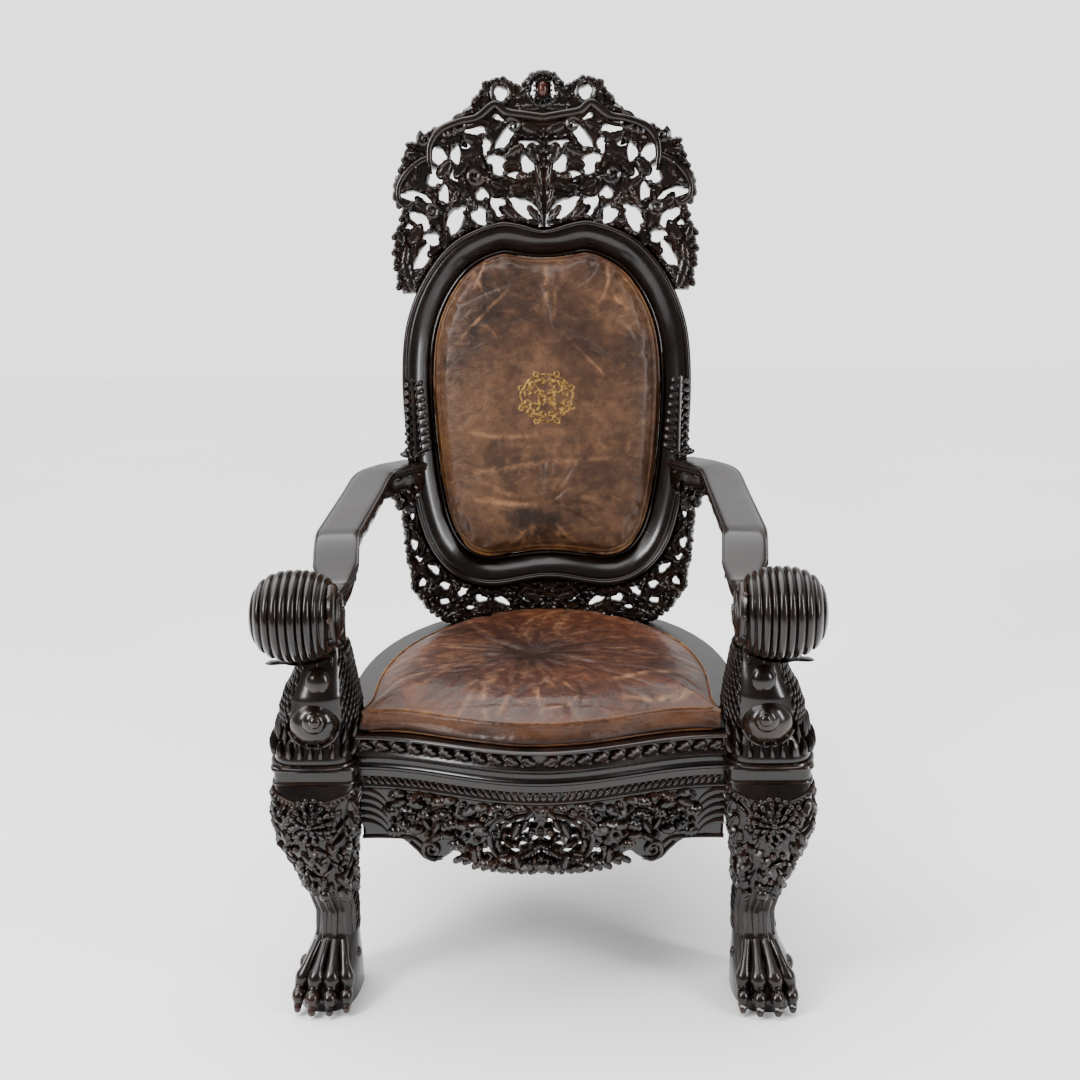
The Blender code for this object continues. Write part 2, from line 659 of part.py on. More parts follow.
def arm_path():
    """The middle of the arm's top from the bend at the back to inside the scroll."""
    lower = SCROLL_Z + 0.30 * SCROLL_RADIUS
    upper = lower + ARM_STEP_SHARE * (ARM_REAR_TOP - lower)
    rear_y = back_plane_y(ARM_REAR_TOP, HOOP_PROUD)
    bend_x, front_x, tip_x = LEG_X - ARM_BEND_INSET, LEG_X - ARM_FRONT_INSET, LEG_X - ARM_TIP_INSET
    slope = ((ARM_REAR_X + 0.6 * (bend_x - ARM_REAR_X), rear_y - 0.5 * ARM_BEND_LENGTH, ARM_REAR_TOP),
             (bend_x, rear_y - ARM_BEND_LENGTH, ARM_REAR_TOP - 0.15 * (ARM_REAR_TOP - upper)),
             ((bend_x + front_x) / 2, (rear_y + ARM_STEP_START) / 2, (ARM_REAR_TOP + upper) / 2))
    path = [Vector(point) for point in slope]
    for share in (0.0, 0.28, 0.5, 0.72, 1.0):
        ease = share * share * (3 - 2 * share)
        path.append(Vector((front_x + (tip_x - front_x) * share,
                            ARM_STEP_START + (ARM_STEP_END - ARM_STEP_START) * share,
                            upper + (lower - upper) * ease)))
    path.append(Vector((tip_x, (ARM_STEP_END + SCROLL_Y) / 2, lower)))
    path.append(Vector((tip_x, SCROLL_Y + 0.2 * SCROLL_RADIUS, lower)))
    return path


def make_arm(name, side):
    path = arm_path()
    end = arm_ring(Vector((ARM_REAR_X, 0.0, ARM_REAR_TOP)), Vector((0.0, -1.0, 0.0)))
    rings = [[Vector((point.x, back_plane_y(point.z, HOOP_PROUD + 2 * GAP), point.z)) for point in end]]
    for step, point in enumerate(path):
        before = path[step - 1] if step else point + Vector((0.6 * (ARM_REAR_X - point.x),
                                                             0.5 * ARM_BEND_LENGTH, 0.0))
        after = path[min(step + 1, len(path) - 1)]
        rings.append(arm_ring(point, after - before))
    rings = [[Vector((side * point.x, point.y, point.z)) for point in ring] for ring in rings]
    arm = make_solid(name, loft(rings), POLISHED_WOOD)
    grow_from(arm, make_solid(name + "_scroll", arm_scroll(side), WOOD, helper=True))
    grow_from(arm, make_solid(name + "_neck", arm_neck(side), WOOD, helper=True))


def arm_scroll(side):
    """A ribbed roll about a level axis, with a domed outer end and a stepped inner one."""
    around = 12
    length = SCROLL_OUTER_X - SCROLL_INNER_X
    rings = [(SCROLL_INNER_X, 0.45), (SCROLL_INNER_X + 0.04 * length, 0.80)]
    ribs_from, ribs_to = 0.10, 0.82
    for rib in range(2 * SCROLL_RIBS + 1):
        share = rib / (2 * SCROLL_RIBS)
        reach = 1.0 - 0.20 * abs(2 * share - 1) ** 2.5
        notch = RIB_DEPTH / SCROLL_RADIUS if rib % 2 == 0 else 0.0
        rings.append((SCROLL_INNER_X + length * (ribs_from + (ribs_to - ribs_from) * share), reach - notch))
    rings += [(SCROLL_INNER_X + 0.93 * length, 0.55), (SCROLL_OUTER_X, 0.20)]
    placed = []
    for across, share in rings:
        placed.append([Vector((side * across, SCROLL_Y + share * SCROLL_RADIUS * math.cos(turn),
                               SCROLL_Z + share * SCROLL_RADIUS * math.sin(turn)))
                       for turn in (2 * math.pi * step / around for step in range(around))])
    return loft(placed)


def arm_neck(side):
    """The upright that joins the arm and its scroll to the support below."""
    inner, outer, front, rear = SUPPORT_LEVELS[-1][1:5]
    rings = []
    for height in (SUPPORT_TOP + GAP, SCROLL_Z):
        ring = oval_ring(height, LEG_X + inner * LEG_HALF_WIDTH, LEG_X + outer * LEG_HALF_WIDTH,
                         front * LEG_HALF_DEPTH, rear * LEG_HALF_DEPTH, 2.6)
        rings.append([Vector((side * point.x, LEG_Y + point.y, point.z)) for point in ring])
    return loft(rings)


def bow(across):
    """Y of the front rail's face line: straight on to the legs, swelling forward in the middle."""
    share = min(1.0, abs(across) / RAIL_HALF_LENGTH)
    return RAIL_END_FRONT - RAIL_BOW * 0.5 * (1 + math.cos(math.pi * share))


def rail_section(leaf, reed):
    """The front rail's section: distance behind its face line, and distance below its top."""
    return (
        (RAIL_WIDTH, 0.0), (0.004, 0.0), (-leaf, 0.12 * RAIL_HEIGHT), (0.004 - leaf, 0.28 * RAIL_HEIGHT),
        (0.006, 0.52 * RAIL_HEIGHT), (0.014, 0.56 * RAIL_HEIGHT), (0.014, 0.72 * RAIL_HEIGHT),
        (0.008 - reed, 0.80 * RAIL_HEIGHT), (0.011, RAIL_HEIGHT), (RAIL_WIDTH, RAIL_HEIGHT),
    )


def rail_stations():
    """Places along the front rail: the notches between its leaves and the middles of the leaves."""
    return [RAIL_HALF_LENGTH * (station / RAIL_LEAVES - 1) for station in range(2 * RAIL_LEAVES + 1)]


def make_front_rail():
    rings = []
    for station, across in enumerate(rail_stations()):
        swelling = station % 2
        section = rail_section(RAIL_LEAF_DEPTH * swelling, 0.5 * RAIL_LEAF_DEPTH * swelling)
        rings.append([Vector((across, bow(across) + behind, DECK_TOP - below)) for behind, below in section])
    make_solid("front_rail", loft(rings), WOOD)


def apron_half():
    """The apron's lower edge from its right end to the middle."""
    end, drop = APRON_END_BOTTOM, APRON_DROP_BOTTOM
    fall = end - drop
    shares = ((1.0, end), (0.86, end + 0.1 * fall), (0.76, end - 0.1 * fall), (0.67, end - 0.6 * fall),
              (0.60, drop + 0.25 * fall), (0.53, end - 0.5 * fall), (0.48, end + 0.1 * fall),
              (0.42, end - 0.7 * fall), (0.32, drop - 0.1 * fall), (0.17, drop), (0.0, drop - 0.2 * fall))
    return [(share * RAIL_HALF_LENGTH, up) for share, up in shares]


def make_apron():
    lower = smooth_path(apron_half(), 26)
    top_steps = 8
    top = [Vector((RAIL_HALF_LENGTH * step / top_steps, APRON_TOP)) for step in range(top_steps + 1)]
    right = top + lower
    left = [Vector((-point.x, point.y)) for point in reversed(right[1:-1])]
    outline = list(reversed(right + left))
    holes = []
    for step in range(5):
        turn = math.radians(-90 + 36 * (step + 0.5))
        across = 0.74 * CARTOUCHE_HALF_WIDTH * math.cos(turn)
        up = CARTOUCHE_HEIGHT + 0.66 * CARTOUCHE_HALF_HEIGHT * math.sin(turn)
        lean = turn + math.radians(90 if step % 2 else 60)
        holes.append(leaf_hole(across, up, 0.030, 0.020, lean))
    holes.append(leaf_hole(0.22 * CARTOUCHE_HALF_WIDTH, CARTOUCHE_HEIGHT, 0.026, 0.013, math.radians(70)))
    holes.append(leaf_hole(1.28 * CARTOUCHE_HALF_WIDTH, APRON_END_BOTTOM + 0.006, 0.018, 0.013, 1.2))
    kept = keep_clear(holes, outline, 0.5 * RIB)

    def front(point):
        return Vector((point.x, bow(point.x) + APRON_SETBACK, point.y))

    def rear(point):
        return Vector((point.x, bow(point.x) + APRON_SETBACK + APRON_THICKNESS, point.y))

    make_solid("front_apron", thick_sheet(outline, kept + mirrored_holes(kept), front, rear), WOOD)


def deck_edge(back):
    """Half width of the deck at a distance back from the front legs."""
    share = max(0.0, (back - DECK_ROUND_START) / (DECK_ROUND_END - DECK_ROUND_START))
    return DECK_HALF_WIDTH * (1 - min(1.0, share) ** DECK_ROUND_POWER) ** (1 / DECK_ROUND_POWER)


def deck_back(across):
    """The inverse of deck_edge on the rounded stretch."""
    share = min(1.0, across / DECK_HALF_WIDTH)
    reach = (1 - share ** DECK_ROUND_POWER) ** (1 / DECK_ROUND_POWER)
    return DECK_ROUND_START + (DECK_ROUND_END - DECK_ROUND_START) * reach


def make_deck():
    behind = RAIL_WIDTH + GAP
    start = LEG_Y + LEG_HALF_DEPTH + GAP
    side_steps = 10
    right = [Vector((across, bow(across) + behind)) for across in rail_stations()[RAIL_LEAVES:]]
    right.append(Vector((RAIL_HALF_LENGTH, start)))
    right.append(Vector((DECK_HALF_WIDTH, start)))
    for step in range(side_steps + 1):
        back = DECK_ROUND_START + (DECK_REAR - DECK_ROUND_START) * step / side_steps
        right.append(Vector((deck_edge(back), back)))
    left = [Vector((-point.x, point.y)) for point in reversed(right[1:])]
    outline = right + left

    def top(point):
        return Vector((point.x, point.y, DECK_TOP))

    def bottom(point):
        return Vector((point.x, point.y, DECK_BOTTOM))

    make_solid("seat_deck", thick_sheet(outline, [], top, bottom), POLISHED_WOOD)


def make_side_rail(name, side):
    """A bar that follows the deck's edge from the front leg to the rear leg."""
    start = LEG_Y + LEG_HALF_DEPTH + GAP
    stop = REAR_LEG_X + REAR_LEG_SIDE / 2 + GAP
    steps = 8
    edges = []
    for inset in (SIDE_RAIL_INSET, SIDE_RAIL_INSET + SIDE_RAIL_WIDTH):
        end = deck_back(stop + inset)
        backs = [start + (end - start) * step / steps for step in range(steps + 1)]
        edges.append([Vector((side * max(stop, deck_edge(back) - inset), back)) for back in backs])
    outline = edges[0] + list(reversed(edges[1]))
    high, low = DECK_BOTTOM - GAP, DECK_BOTTOM - GAP - SIDE_RAIL_HEIGHT
    solid = thick_sheet(outline, [], lambda p: Vector((p.x, p.y, high)), lambda p: Vector((p.x, p.y, low)))
    make_solid(name, solid, WOOD)


def box(low, high):
    corners = ((0, 0), (1, 0), (1, 1), (0, 1))
    spans = (low, high)
    return loft([[Vector((spans[i][0], spans[j][1], level)) for i, j in corners] for level in (low[2], high[2])])


def make_back_rail():
    half = REAR_LEG_X - REAR_LEG_SIDE / 2 - GAP
    top = DECK_BOTTOM - GAP
    low = (-half, REAR_LEG_Y - BACK_RAIL_WIDTH / 2, top - BACK_RAIL_HEIGHT)
    make_solid("back_rail", box(low, (half, REAR_LEG_Y + BACK_RAIL_WIDTH / 2, top)), WOOD)


def make_rear_leg(name, side):
    """A square leg, upright behind the rail and splayed below it."""
    top = DECK_BOTTOM - GAP
    knee = top - BACK_RAIL_HEIGHT
    rings = []
    for share in (0.0, 0.12, 0.35, 0.60, 0.85, 1.0):
        lean = (1 - share) ** 1.6
        half = (REAR_FOOT_SIDE + (REAR_LEG_SIDE - REAR_FOOT_SIDE) * share) / 2
        x = side * (REAR_LEG_X + REAR_SPLAY_OUT * lean)
        y = REAR_LEG_Y + REAR_SPLAY_BACK * lean
        rings.append([Vector((x + i * half, y + j * half, knee * share))
                      for i, j in ((-1, -1), (1, -1), (1, 1), (-1, 1))])
    rings.append([Vector((point.x, point.y, top)) for point in rings[-1]])
    make_solid(name, loft(rings), WOOD)


def cushion_outline(inset):
    """The seat cushion's edge: bowed in front, straight sides, rounded back."""
    half = CUSHION_HALF_WIDTH - inset
    front_steps, side_steps = 8, 14
    corner = RAIL_END_FRONT + CUSHION_OVERHANG + inset
    right = []
    for step in range(front_steps + 1):
        across = half * step / front_steps
        right.append(Vector((across, bow(across * RAIL_HALF_LENGTH / half) + CUSHION_OVERHANG + inset)))
    start, end = DECK_ROUND_START - 0.06, CUSHION_REAR - inset
    right.append(Vector((half, (corner + start) / 2)))
    for step in range(side_steps + 1):
        turn = 0.5 * math.pi * step / side_steps
        across = half * math.cos(turn) ** (2 / 2.1)
        right.append(Vector((across, start + (end - start) * math.sin(turn) ** (2 / 2.1))))
    left = [Vector((-point.x, point.y)) for point in reversed(right[1:-1])]
    return right + left


def make_seat_cushion():
    bottom = DECK_TOP + GAP
    rings = []
    for inset, height in ((0.0, 0.0), (0.0, CUSHION_SIDE), (0.012, 0.72 * CUSHION_CROWN),
                          (0.050, 0.90 * CUSHION_CROWN), (0.120, CUSHION_CROWN)):
        rings.append([Vector((point.x, point.y, bottom + height)) for point in cushion_outline(inset)])
    make_solid("seat_cushion", loft(rings), LEATHER)


def set_origin():
    """Slides the chair so that the origin is the middle of its footprint."""
    bpy.context.view_layer.update()
    graph = bpy.context.evaluated_depsgraph_get()
    reaches = []
    for piece in bpy.context.scene.objects:
        if piece.type == "MESH" and not piece.hide_render:
            shape = piece.evaluated_get(graph)
            reaches += [(shape.matrix_world @ vertex.co).y for vertex in shape.data.vertices]
    shift = place_empty("throne_origin", (0.0, -(min(reaches) + max(reaches)) / 2, 0.0))
    for piece in list(bpy.context.scene.objects):
        if piece.parent is None and piece is not shift:
            piece.parent = shift


def build_throne():
    clear_scene()
    back = place_empty("back_lean", (0.0, BACK_Y, BACK_Z), -RAKE)
    hoop_part("back_frame_upper", -JOINT_STEP, JOINT_STEP, back)
    hoop_part("back_frame_lower", JOINT_STEP, HOOP_STEPS - JOINT_STEP, back)
    make_crest(back)
    make_lower_carving(back)
    make_back_board(back)
    make_back_cushion(back)
    for name, side in (("left", -1), ("right", 1)):
        make_bracket("back_leaf_" + name, side, back)
        make_arm("arm_" + name, side)
        make_support("arm_support_" + name, side)
        make_front_leg("front_leg_" + name, side)
        make_side_rail("side_rail_" + name, side)
        make_rear_leg("rear_leg_" + name, side)
    make_front_rail()
    make_apron()
    make_back_rail()
    make_deck()
    make_seat_cushion()
    set_origin()


build_throne()
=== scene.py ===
import math
import random

import bmesh
import bpy
import numpy as np
from mathutils import Matrix, Vector
from mathutils.bvhtree import BVHTree
from mathutils.geometry import delaunay_2d_cdt


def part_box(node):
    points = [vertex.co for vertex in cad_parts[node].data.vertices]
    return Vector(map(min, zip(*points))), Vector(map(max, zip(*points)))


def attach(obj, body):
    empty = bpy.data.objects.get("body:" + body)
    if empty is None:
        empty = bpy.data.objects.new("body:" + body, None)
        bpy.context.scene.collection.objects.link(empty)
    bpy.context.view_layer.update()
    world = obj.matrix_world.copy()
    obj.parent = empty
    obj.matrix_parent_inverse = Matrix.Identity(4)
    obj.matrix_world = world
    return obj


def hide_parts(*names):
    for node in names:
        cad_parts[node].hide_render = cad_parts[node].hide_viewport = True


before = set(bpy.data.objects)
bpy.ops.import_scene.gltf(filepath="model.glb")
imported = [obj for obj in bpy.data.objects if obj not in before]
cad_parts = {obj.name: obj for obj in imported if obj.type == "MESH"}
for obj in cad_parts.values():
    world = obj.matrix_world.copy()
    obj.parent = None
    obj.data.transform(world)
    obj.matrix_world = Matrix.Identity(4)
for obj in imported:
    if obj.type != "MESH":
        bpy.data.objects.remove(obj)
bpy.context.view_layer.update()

chance = random.Random(11)

# Sizes in metres, as in the part. Y is read from the frame, because the part slides to its middle.
GAP = 0.0003
LEG_X = 0.346
LEG_HALF_WIDTH = 0.0635
LEG_HALF_DEPTH = 0.0625
LEG_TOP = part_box("front_leg_right")[1].z
LEG_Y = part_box("front_leg_right")[1].y - LEG_HALF_DEPTH
SUPPORT_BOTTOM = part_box("arm_support_right")[0].z
SUPPORT_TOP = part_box("arm_support_right")[1].z
SUPPORT_HEIGHT = SUPPORT_TOP - SUPPORT_BOTTOM
DECK_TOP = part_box("seat_deck")[1].z
RAIL_HALF_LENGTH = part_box("front_rail")[1].x
RAIL_END_FRONT = LEG_Y - 0.040
RAIL_BOW = 0.068
RAIL_WIDTH = 0.044
RAIL_HEIGHT = 0.088
APRON_SETBACK = 0.012
APRON_THICKNESS = 0.020
APRON_TOP = DECK_TOP - RAIL_HEIGHT - GAP
RAKE = math.radians(8.0)
BACK_Y = LEG_Y + 0.530
BACK_Z = DECK_TOP + 0.022
BACK_HALF_WIDTH = 0.266
BACK_HEIGHT = 0.993
HOOP_WIDTH = 0.055
HOOP_PROUD = 0.026
HOOP_REAR = 0.022
BOARD_FRONT = 0.006
ARM_REAR_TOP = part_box("arm_right")[1].z
SCROLL_RADIUS = 0.068
SCROLL_Y = LEG_Y - 0.083
SCROLL_Z = SUPPORT_TOP + GAP + SCROLL_RADIUS
SCROLL_OUTER_X = LEG_X + 0.075
SCROLL_INNER_X = LEG_X - 0.062
CUSHION_HALF_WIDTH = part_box("seat_cushion")[1].x
CUSHION_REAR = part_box("seat_cushion")[1].y

LEAN = Matrix.Translation((0.0, BACK_Y, BACK_Z)) @ Matrix.Rotation(-RAKE, 4, "X")


# Colours and materials

def srgb(code):
    """A hex colour as the linear values that shaders take."""
    parts = [int(code[i:i + 2], 16) / 255 for i in (1, 3, 5)]
    return tuple(p / 12.92 if p <= 0.04045 else ((p + 0.055) / 1.055) ** 2.4 for p in parts) + (1.0,)


def add_node(tree, kind, values=None, links=None, stops=None, **settings):
    """Adds one node with its properties, input values, links and colour stops."""
    node = tree.nodes.new(kind)
    for name, value in settings.items():
        setattr(node, name, value)
    for name, value in (values or {}).items():
        node.inputs[name].default_value = value
    for name, source in (links or {}).items():
        tree.links.new(source, node.inputs[name])
    if stops:
        ramp = node.color_ramp
        while len(ramp.elements) < len(stops):
            ramp.elements.new(0.5)
        for element, (place, code) in zip(ramp.elements, stops):
            element.position = place
            element.color = srgb(code)
    return node


def noise(tree, place, scale, detail, roughness=0.5, distortion=0.0):
    """A noise pattern; scale is how many times it repeats in a metre."""
    values = {"Scale": scale, "Detail": detail, "Roughness": roughness, "Distortion": distortion}
    return add_node(tree, "ShaderNodeTexNoise", values, {"Vector": place}).outputs["Fac"]


def remap(tree, value, low, high, least=0.0, most=1.0, **settings):
    """Turns the range from low to high into least to most, and holds it at both ends."""
    values = {"From Min": low, "From Max": high, "To Min": least, "To Max": most}
    return add_node(tree, "ShaderNodeMapRange", values, {"Value": value}, **settings).outputs["Result"]


def blend(tree, factor, below, code):
    """Lays a colour over another; a Mix node's colours are its inputs 6 and 7."""
    node = add_node(tree, "ShaderNodeMix", links={"Factor": factor}, data_type="RGBA")
    node.inputs[7].default_value = srgb(code)
    tree.links.new(below, node.inputs[6])
    return node.outputs[2]


def product(tree, first, second):
    return add_node(tree, "ShaderNodeMath", links={0: first, 1: second}, operation="MULTIPLY").outputs[0]


def new_material(name, **sockets):
    """An empty material; sockets that are the same all over are set on the shader itself."""
    material = bpy.data.materials.new(name)
    material.use_nodes = True
    tree = material.node_tree
    shader = tree.nodes["Principled BSDF"]
    for socket, value in sockets.items():
        shader.inputs[socket.replace("_", " ")].default_value = value
    return material, tree, shader


def blackwood(name, dark, light, worn, roughness, grain_stretch, bump_height):
    """Dense tropical hardwood, stained black and waxed: close grain, brown where hands rub the edges."""
    material, tree, shader = new_material(name, Specular_IOR_Level=0.36, Coat_Weight=0.15,
                                          Coat_Roughness=0.10, Coat_IOR=1.5)
    place = add_node(tree, "ShaderNodeTexCoord").outputs["Object"]
    # Pores run up the boards and are about 1 mm apart.
    along = add_node(tree, "ShaderNodeMapping", {"Scale": grain_stretch}, {"Vector": place}).outputs["Vector"]
    grain = noise(tree, along, 160.0, 4.0, 0.6)
    patches = noise(tree, place, 14.0, 3.0, 0.55)
    tone = add_node(tree, "ShaderNodeMix", {"Factor": 0.5}, {"A": grain, "B": patches}).outputs["Result"]
    colour = add_node(tree, "ShaderNodeValToRGB", links={"Fac": tone},
                      stops=((0.36, dark), (0.66, light))).outputs["Color"]
    # Raised edges lose their stain first, in spots.
    raised = add_node(tree, "ShaderNodeNewGeometry").outputs["Pointiness"]
    spots = remap(tree, noise(tree, place, 30.0, 2.0), 0.42, 0.68, most=0.5)
    rubbed = product(tree, remap(tree, raised, 0.52, 0.66), spots)
    tree.links.new(blend(tree, rubbed, colour, worn), shader.inputs["Base Color"])
    smear = remap(tree, patches, 0.0, 1.0, roughness - 0.07, roughness + 0.13)
    tree.links.new(smear, shader.inputs["Roughness"])
    bump = add_node(tree, "ShaderNodeBump", {"Strength": 0.35, "Distance": bump_height}, {"Height": grain})
    tree.links.new(bump.outputs["Normal"], shader.inputs["Normal"])
    return material


carved_wood = blackwood("carved_blackwood_waxed", "#070403", "#150c09", "#50301f", 0.22, (1.0, 1.0, 0.25),
                        0.0006)
hoop_wood = blackwood("moulded_blackwood_polished", "#070403", "#170d08", "#4a2d1a", 0.20, (0.5, 1.0, 0.2),
                      0.0002)
board_wood = blackwood("planed_blackwood_french_polished", "#0d0807", "#1c1310", "#3e2a20", 0.25,
                       (1.0, 0.12, 1.0), 0.0001)
red_wood = blackwood("carved_blackwood_stain_lost", "#2c0f08", "#501d0f", "#743820", 0.26, (1.0, 1.0, 0.5),
                     0.0003)


# Paths and plain shapes. A shape is a table of points and a list of faces that point outwards.

def smooth_path(points, count, closed=False):
    """Evenly spaced points on a smooth curve through the points given."""
    points = np.asarray(points, float)
    if closed:
        framed = np.vstack([points[-1:], points, points[:2]])
    else:
        framed = np.vstack([2 * points[0] - points[1], points, 2 * points[-1] - points[-2]])
    t = np.linspace(0.0, 1.0, 12, endpoint=False)[:, None]
    fine = []
    for a, b, c, d in zip(framed, framed[1:], framed[2:], framed[3:]):
        fine.append(0.5 * (2 * b + t * (c - a) + t ** 2 * (2 * a - 5 * b + 4 * c - d)
                           + t ** 3 * (3 * b - a - 3 * c + d)))
    fine = np.vstack([*fine, framed[-2:-1]])
    along = np.concatenate([[0.0], np.cumsum(np.linalg.norm(np.diff(fine, axis=0), axis=1))])
    wanted = np.linspace(0.0, along[-1], count + 1 if closed else count)
    spaced = np.stack([np.interp(wanted, along, column) for column in fine.T], axis=1)
    return spaced[:-1] if closed else spaced


def loft(rings, closed_along=False):
    """A solid skinned over rings of equally many points."""
    rings = np.asarray(rings, float)
    rows, count = rings.shape[:2]
    faces = []
    for row in range(rows if closed_along else rows - 1):
        low, high = row * count, (row + 1) % rows * count
        faces += [(low + s, low + (s + 1) % count, high + (s + 1) % count, high + s) for s in range(count)]
    if not closed_along:
        faces.append(tuple(range(count - 1, -1, -1)))
        faces.append(tuple(range((rows - 1) * count, rows * count)))
    return outward((rings.reshape(-1, 3), faces))


def outward(shape):
    """The same closed shape with its faces turned outwards."""
    points, faces = shape
    volume = 0.0
    for face in faces:
        a = points[face[0]]
        for second, third in zip(face[1:], face[2:]):
            volume += a.dot(np.cross(points[second], points[third]))
    return shape if volume > 0 else (points, [tuple(reversed(face)) for face in faces])


def moved(shape, matrix):
    points, faces = shape
    table = np.array(matrix)
    points = points @ table[:3, :3].T + table[:3, 3]
    if np.linalg.det(table[:3, :3]) < 0:
        faces = [tuple(reversed(face)) for face in faces]
    return points, faces


MIRROR = Matrix.Scale(-1.0, 4, (1.0, 0.0, 0.0))


def facing(centre, along, out, sizes):
    """A matrix that lays a unit motif's X along one way and its Z out of the wood, at its three sizes."""
    out = Vector(out).normalized()
    along = Vector(along)
    along = (along - along.dot(out) * out).normalized()
    side = out.cross(along)
    turn = Matrix((along, side, out)).transposed().to_4x4()
    return Matrix.Translation(Vector(centre)) @ turn @ Matrix.Diagonal((*sizes, 1.0))


def bar(path, radius, sides=8, out=(0.0, -1.0, 0.0), flat=1.0, closed=False):
    """A round bar along a path; radius may be one number per point, flat squashes it along out."""
    path = np.asarray(path, float)
    radius = np.broadcast_to(radius, len(path))
    out = np.asarray(out, float)
    rings = []
    for step, point in enumerate(path):
        if closed:
            run = path[(step + 1) % len(path)] - path[step - 1]
        else:
            run = path[min(step + 1, len(path) - 1)] - path[max(step - 1, 0)]
        across = np.cross(run, out)
        across /= max(np.linalg.norm(across), 1e-9)
        rise = np.cross(across, run)
        rise /= max(np.linalg.norm(rise), 1e-9)
        turns = np.arange(sides) * 2 * math.pi / sides
        rings.append(point + radius[step] * (np.cos(turns)[:, None] * across
                                             + flat * np.sin(turns)[:, None] * rise))
    return loft(rings, closed_along=closed)


def on_back(flat, depth=0.0):
    """Points of the back, given across and up, in the frame; depth grows to the rear."""
    flat = np.atleast_2d(np.asarray(flat, float))
    local = np.stack([flat[:, 0], np.broadcast_to(depth, len(flat)), flat[:, 1]], axis=1)
    table = np.array(LEAN)
    return local @ table[:3, :3].T + table[:3, 3]


FORWARD = tuple((LEAN.to_3x3() @ Vector((0.0, -1.0, 0.0))))


class Carving:
    """Collects the shapes that are carved from one piece of wood."""

    def __init__(self):
        self.points, self.faces, self.finish, self.count = [], [], [], 0

    def add(self, shape, finish=0):
        points, faces = shape
        self.points.append(points)
        self.faces += [tuple(index + self.count for index in face) for face in faces]
        self.finish += [finish] * len(faces)
        self.count += len(points)

    def add_both(self, shape, finish=0):
        """The shape and its mirror image on the other side of the chair."""
        self.add(shape, finish)
        self.add(moved(shape, MIRROR), finish)

    def mirrored(self):
        other = Carving()
        for points in self.points:
            other.points.append(points * (-1.0, 1.0, 1.0))
        other.faces = [tuple(reversed(face)) for face in self.faces]
        other.finish, other.count = list(self.finish), self.count
        return other

    def make(self, name, materials, crease=42.0):
        mesh = bpy.data.meshes.new(name)
        mesh.from_pydata(np.vstack(self.points).tolist(), [], self.faces)
        for material in materials:
            mesh.materials.append(material)
        mesh.polygons.foreach_set("material_index", self.finish)
        mesh.shade_smooth()
        mesh.set_sharp_from_angle(angle=math.radians(crease))
        piece = bpy.data.objects.new(name, mesh)
        bpy.context.scene.collection.objects.link(piece)
        return piece


def settle(piece, nodes):
    """Hangs a finished piece on the chair's one body, and hides the part's nodes that it stands in for."""
    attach(piece, "root")
    if nodes:
        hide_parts(*nodes)


# Motifs that repeat: each is modelled once with Blender's own tools, read, and copied into place.

def start_modelling():
    if bpy.context.object and bpy.context.object.mode != "OBJECT":
        bpy.ops.object.mode_set(mode="OBJECT")
    bpy.ops.object.select_all(action="DESELECT")


def read_motif():
    """The active object's points and faces; the object itself is removed."""
    piece = bpy.context.object
    for modifier in list(piece.modifiers):
        bpy.ops.object.modifier_apply(modifier=modifier.name)
    points = np.array([vertex.co[:] for vertex in piece.data.vertices])
    faces = [tuple(polygon.vertices) for polygon in piece.data.polygons]
    mesh = piece.data
    bpy.data.objects.remove(piece)
    bpy.data.meshes.remove(mesh)
    return outward((points, faces))


def model_leaf(lobes, notch, rows=6, samples=4):
    """A plump leaf of length 1, width 1 and height about 1, with rounded lobes, a midrib and a curled tip."""
    start_modelling()
    bpy.ops.mesh.primitive_grid_add(x_subdivisions=samples * lobes, y_subdivisions=rows, size=2.0)
    leaf = bpy.context.object
    for vertex in leaf.data.vertices:
        along, across = 0.5 - 0.5 * math.cos(0.5 * math.pi * (vertex.co.x + 1)), vertex.co.y
        swell = max(0.0, 1 - abs(2 * along - 1) ** 2.6) ** 0.5 * (0.55 + 0.45 * min(1.0, along / 0.4))
        lobe = abs(math.sin(math.pi * lobes * along)) ** 0.8
        width = max(0.05, swell * (1 - notch + notch * lobe))
        rise = (1 - 0.88 * abs(across) ** 1.7) * (0.30 + 0.70 * swell)
        rise -= 0.26 * math.exp(-(across / 0.16) ** 2)
        rise -= 0.34 * (1 - lobe) * min(1.0, 2.5 * abs(across)) * swell
        rise += 0.22 * along ** 2
        vertex.co = (along, 0.5 * across * width, rise)
    bpy.ops.object.modifier_add(type="SOLIDIFY")
    leaf.modifiers["Solidify"].thickness = 0.45
    leaf.modifiers["Solidify"].offset = -1.0
    return read_motif()


def model_ball(segments=12, rings=8):
    start_modelling()
    bpy.ops.mesh.primitive_uv_sphere_add(segments=segments, ring_count=rings, radius=1.0)
    return read_motif()


def model_petal():
    """A plump petal of length 1 with a cleft tip, from a sphere; it is placed by its middle."""
    start_modelling()
    bpy.ops.mesh.primitive_uv_sphere_add(segments=12, ring_count=8, radius=0.5)
    petal = bpy.context.object
    for vertex in petal.data.vertices:
        along = vertex.co.x
        vertex.co.y *= 0.45 + 0.9 * along
        vertex.co.z *= 1.5 - 0.75 * math.exp(-(vertex.co.y / 0.12) ** 2) * along
        vertex.co.z += 0.35 * along ** 2
        vertex.co.x -= 0.10 * math.exp(-(vertex.co.y / 0.10) ** 2) * along ** 3
    return read_motif()


LEAF = model_leaf(3, 0.22)
LONG_LEAF = model_leaf(4, 0.16, rows=4, samples=3)
BALL = model_ball()
SMALL_BALL = model_ball(8, 6)
PETAL = model_petal()


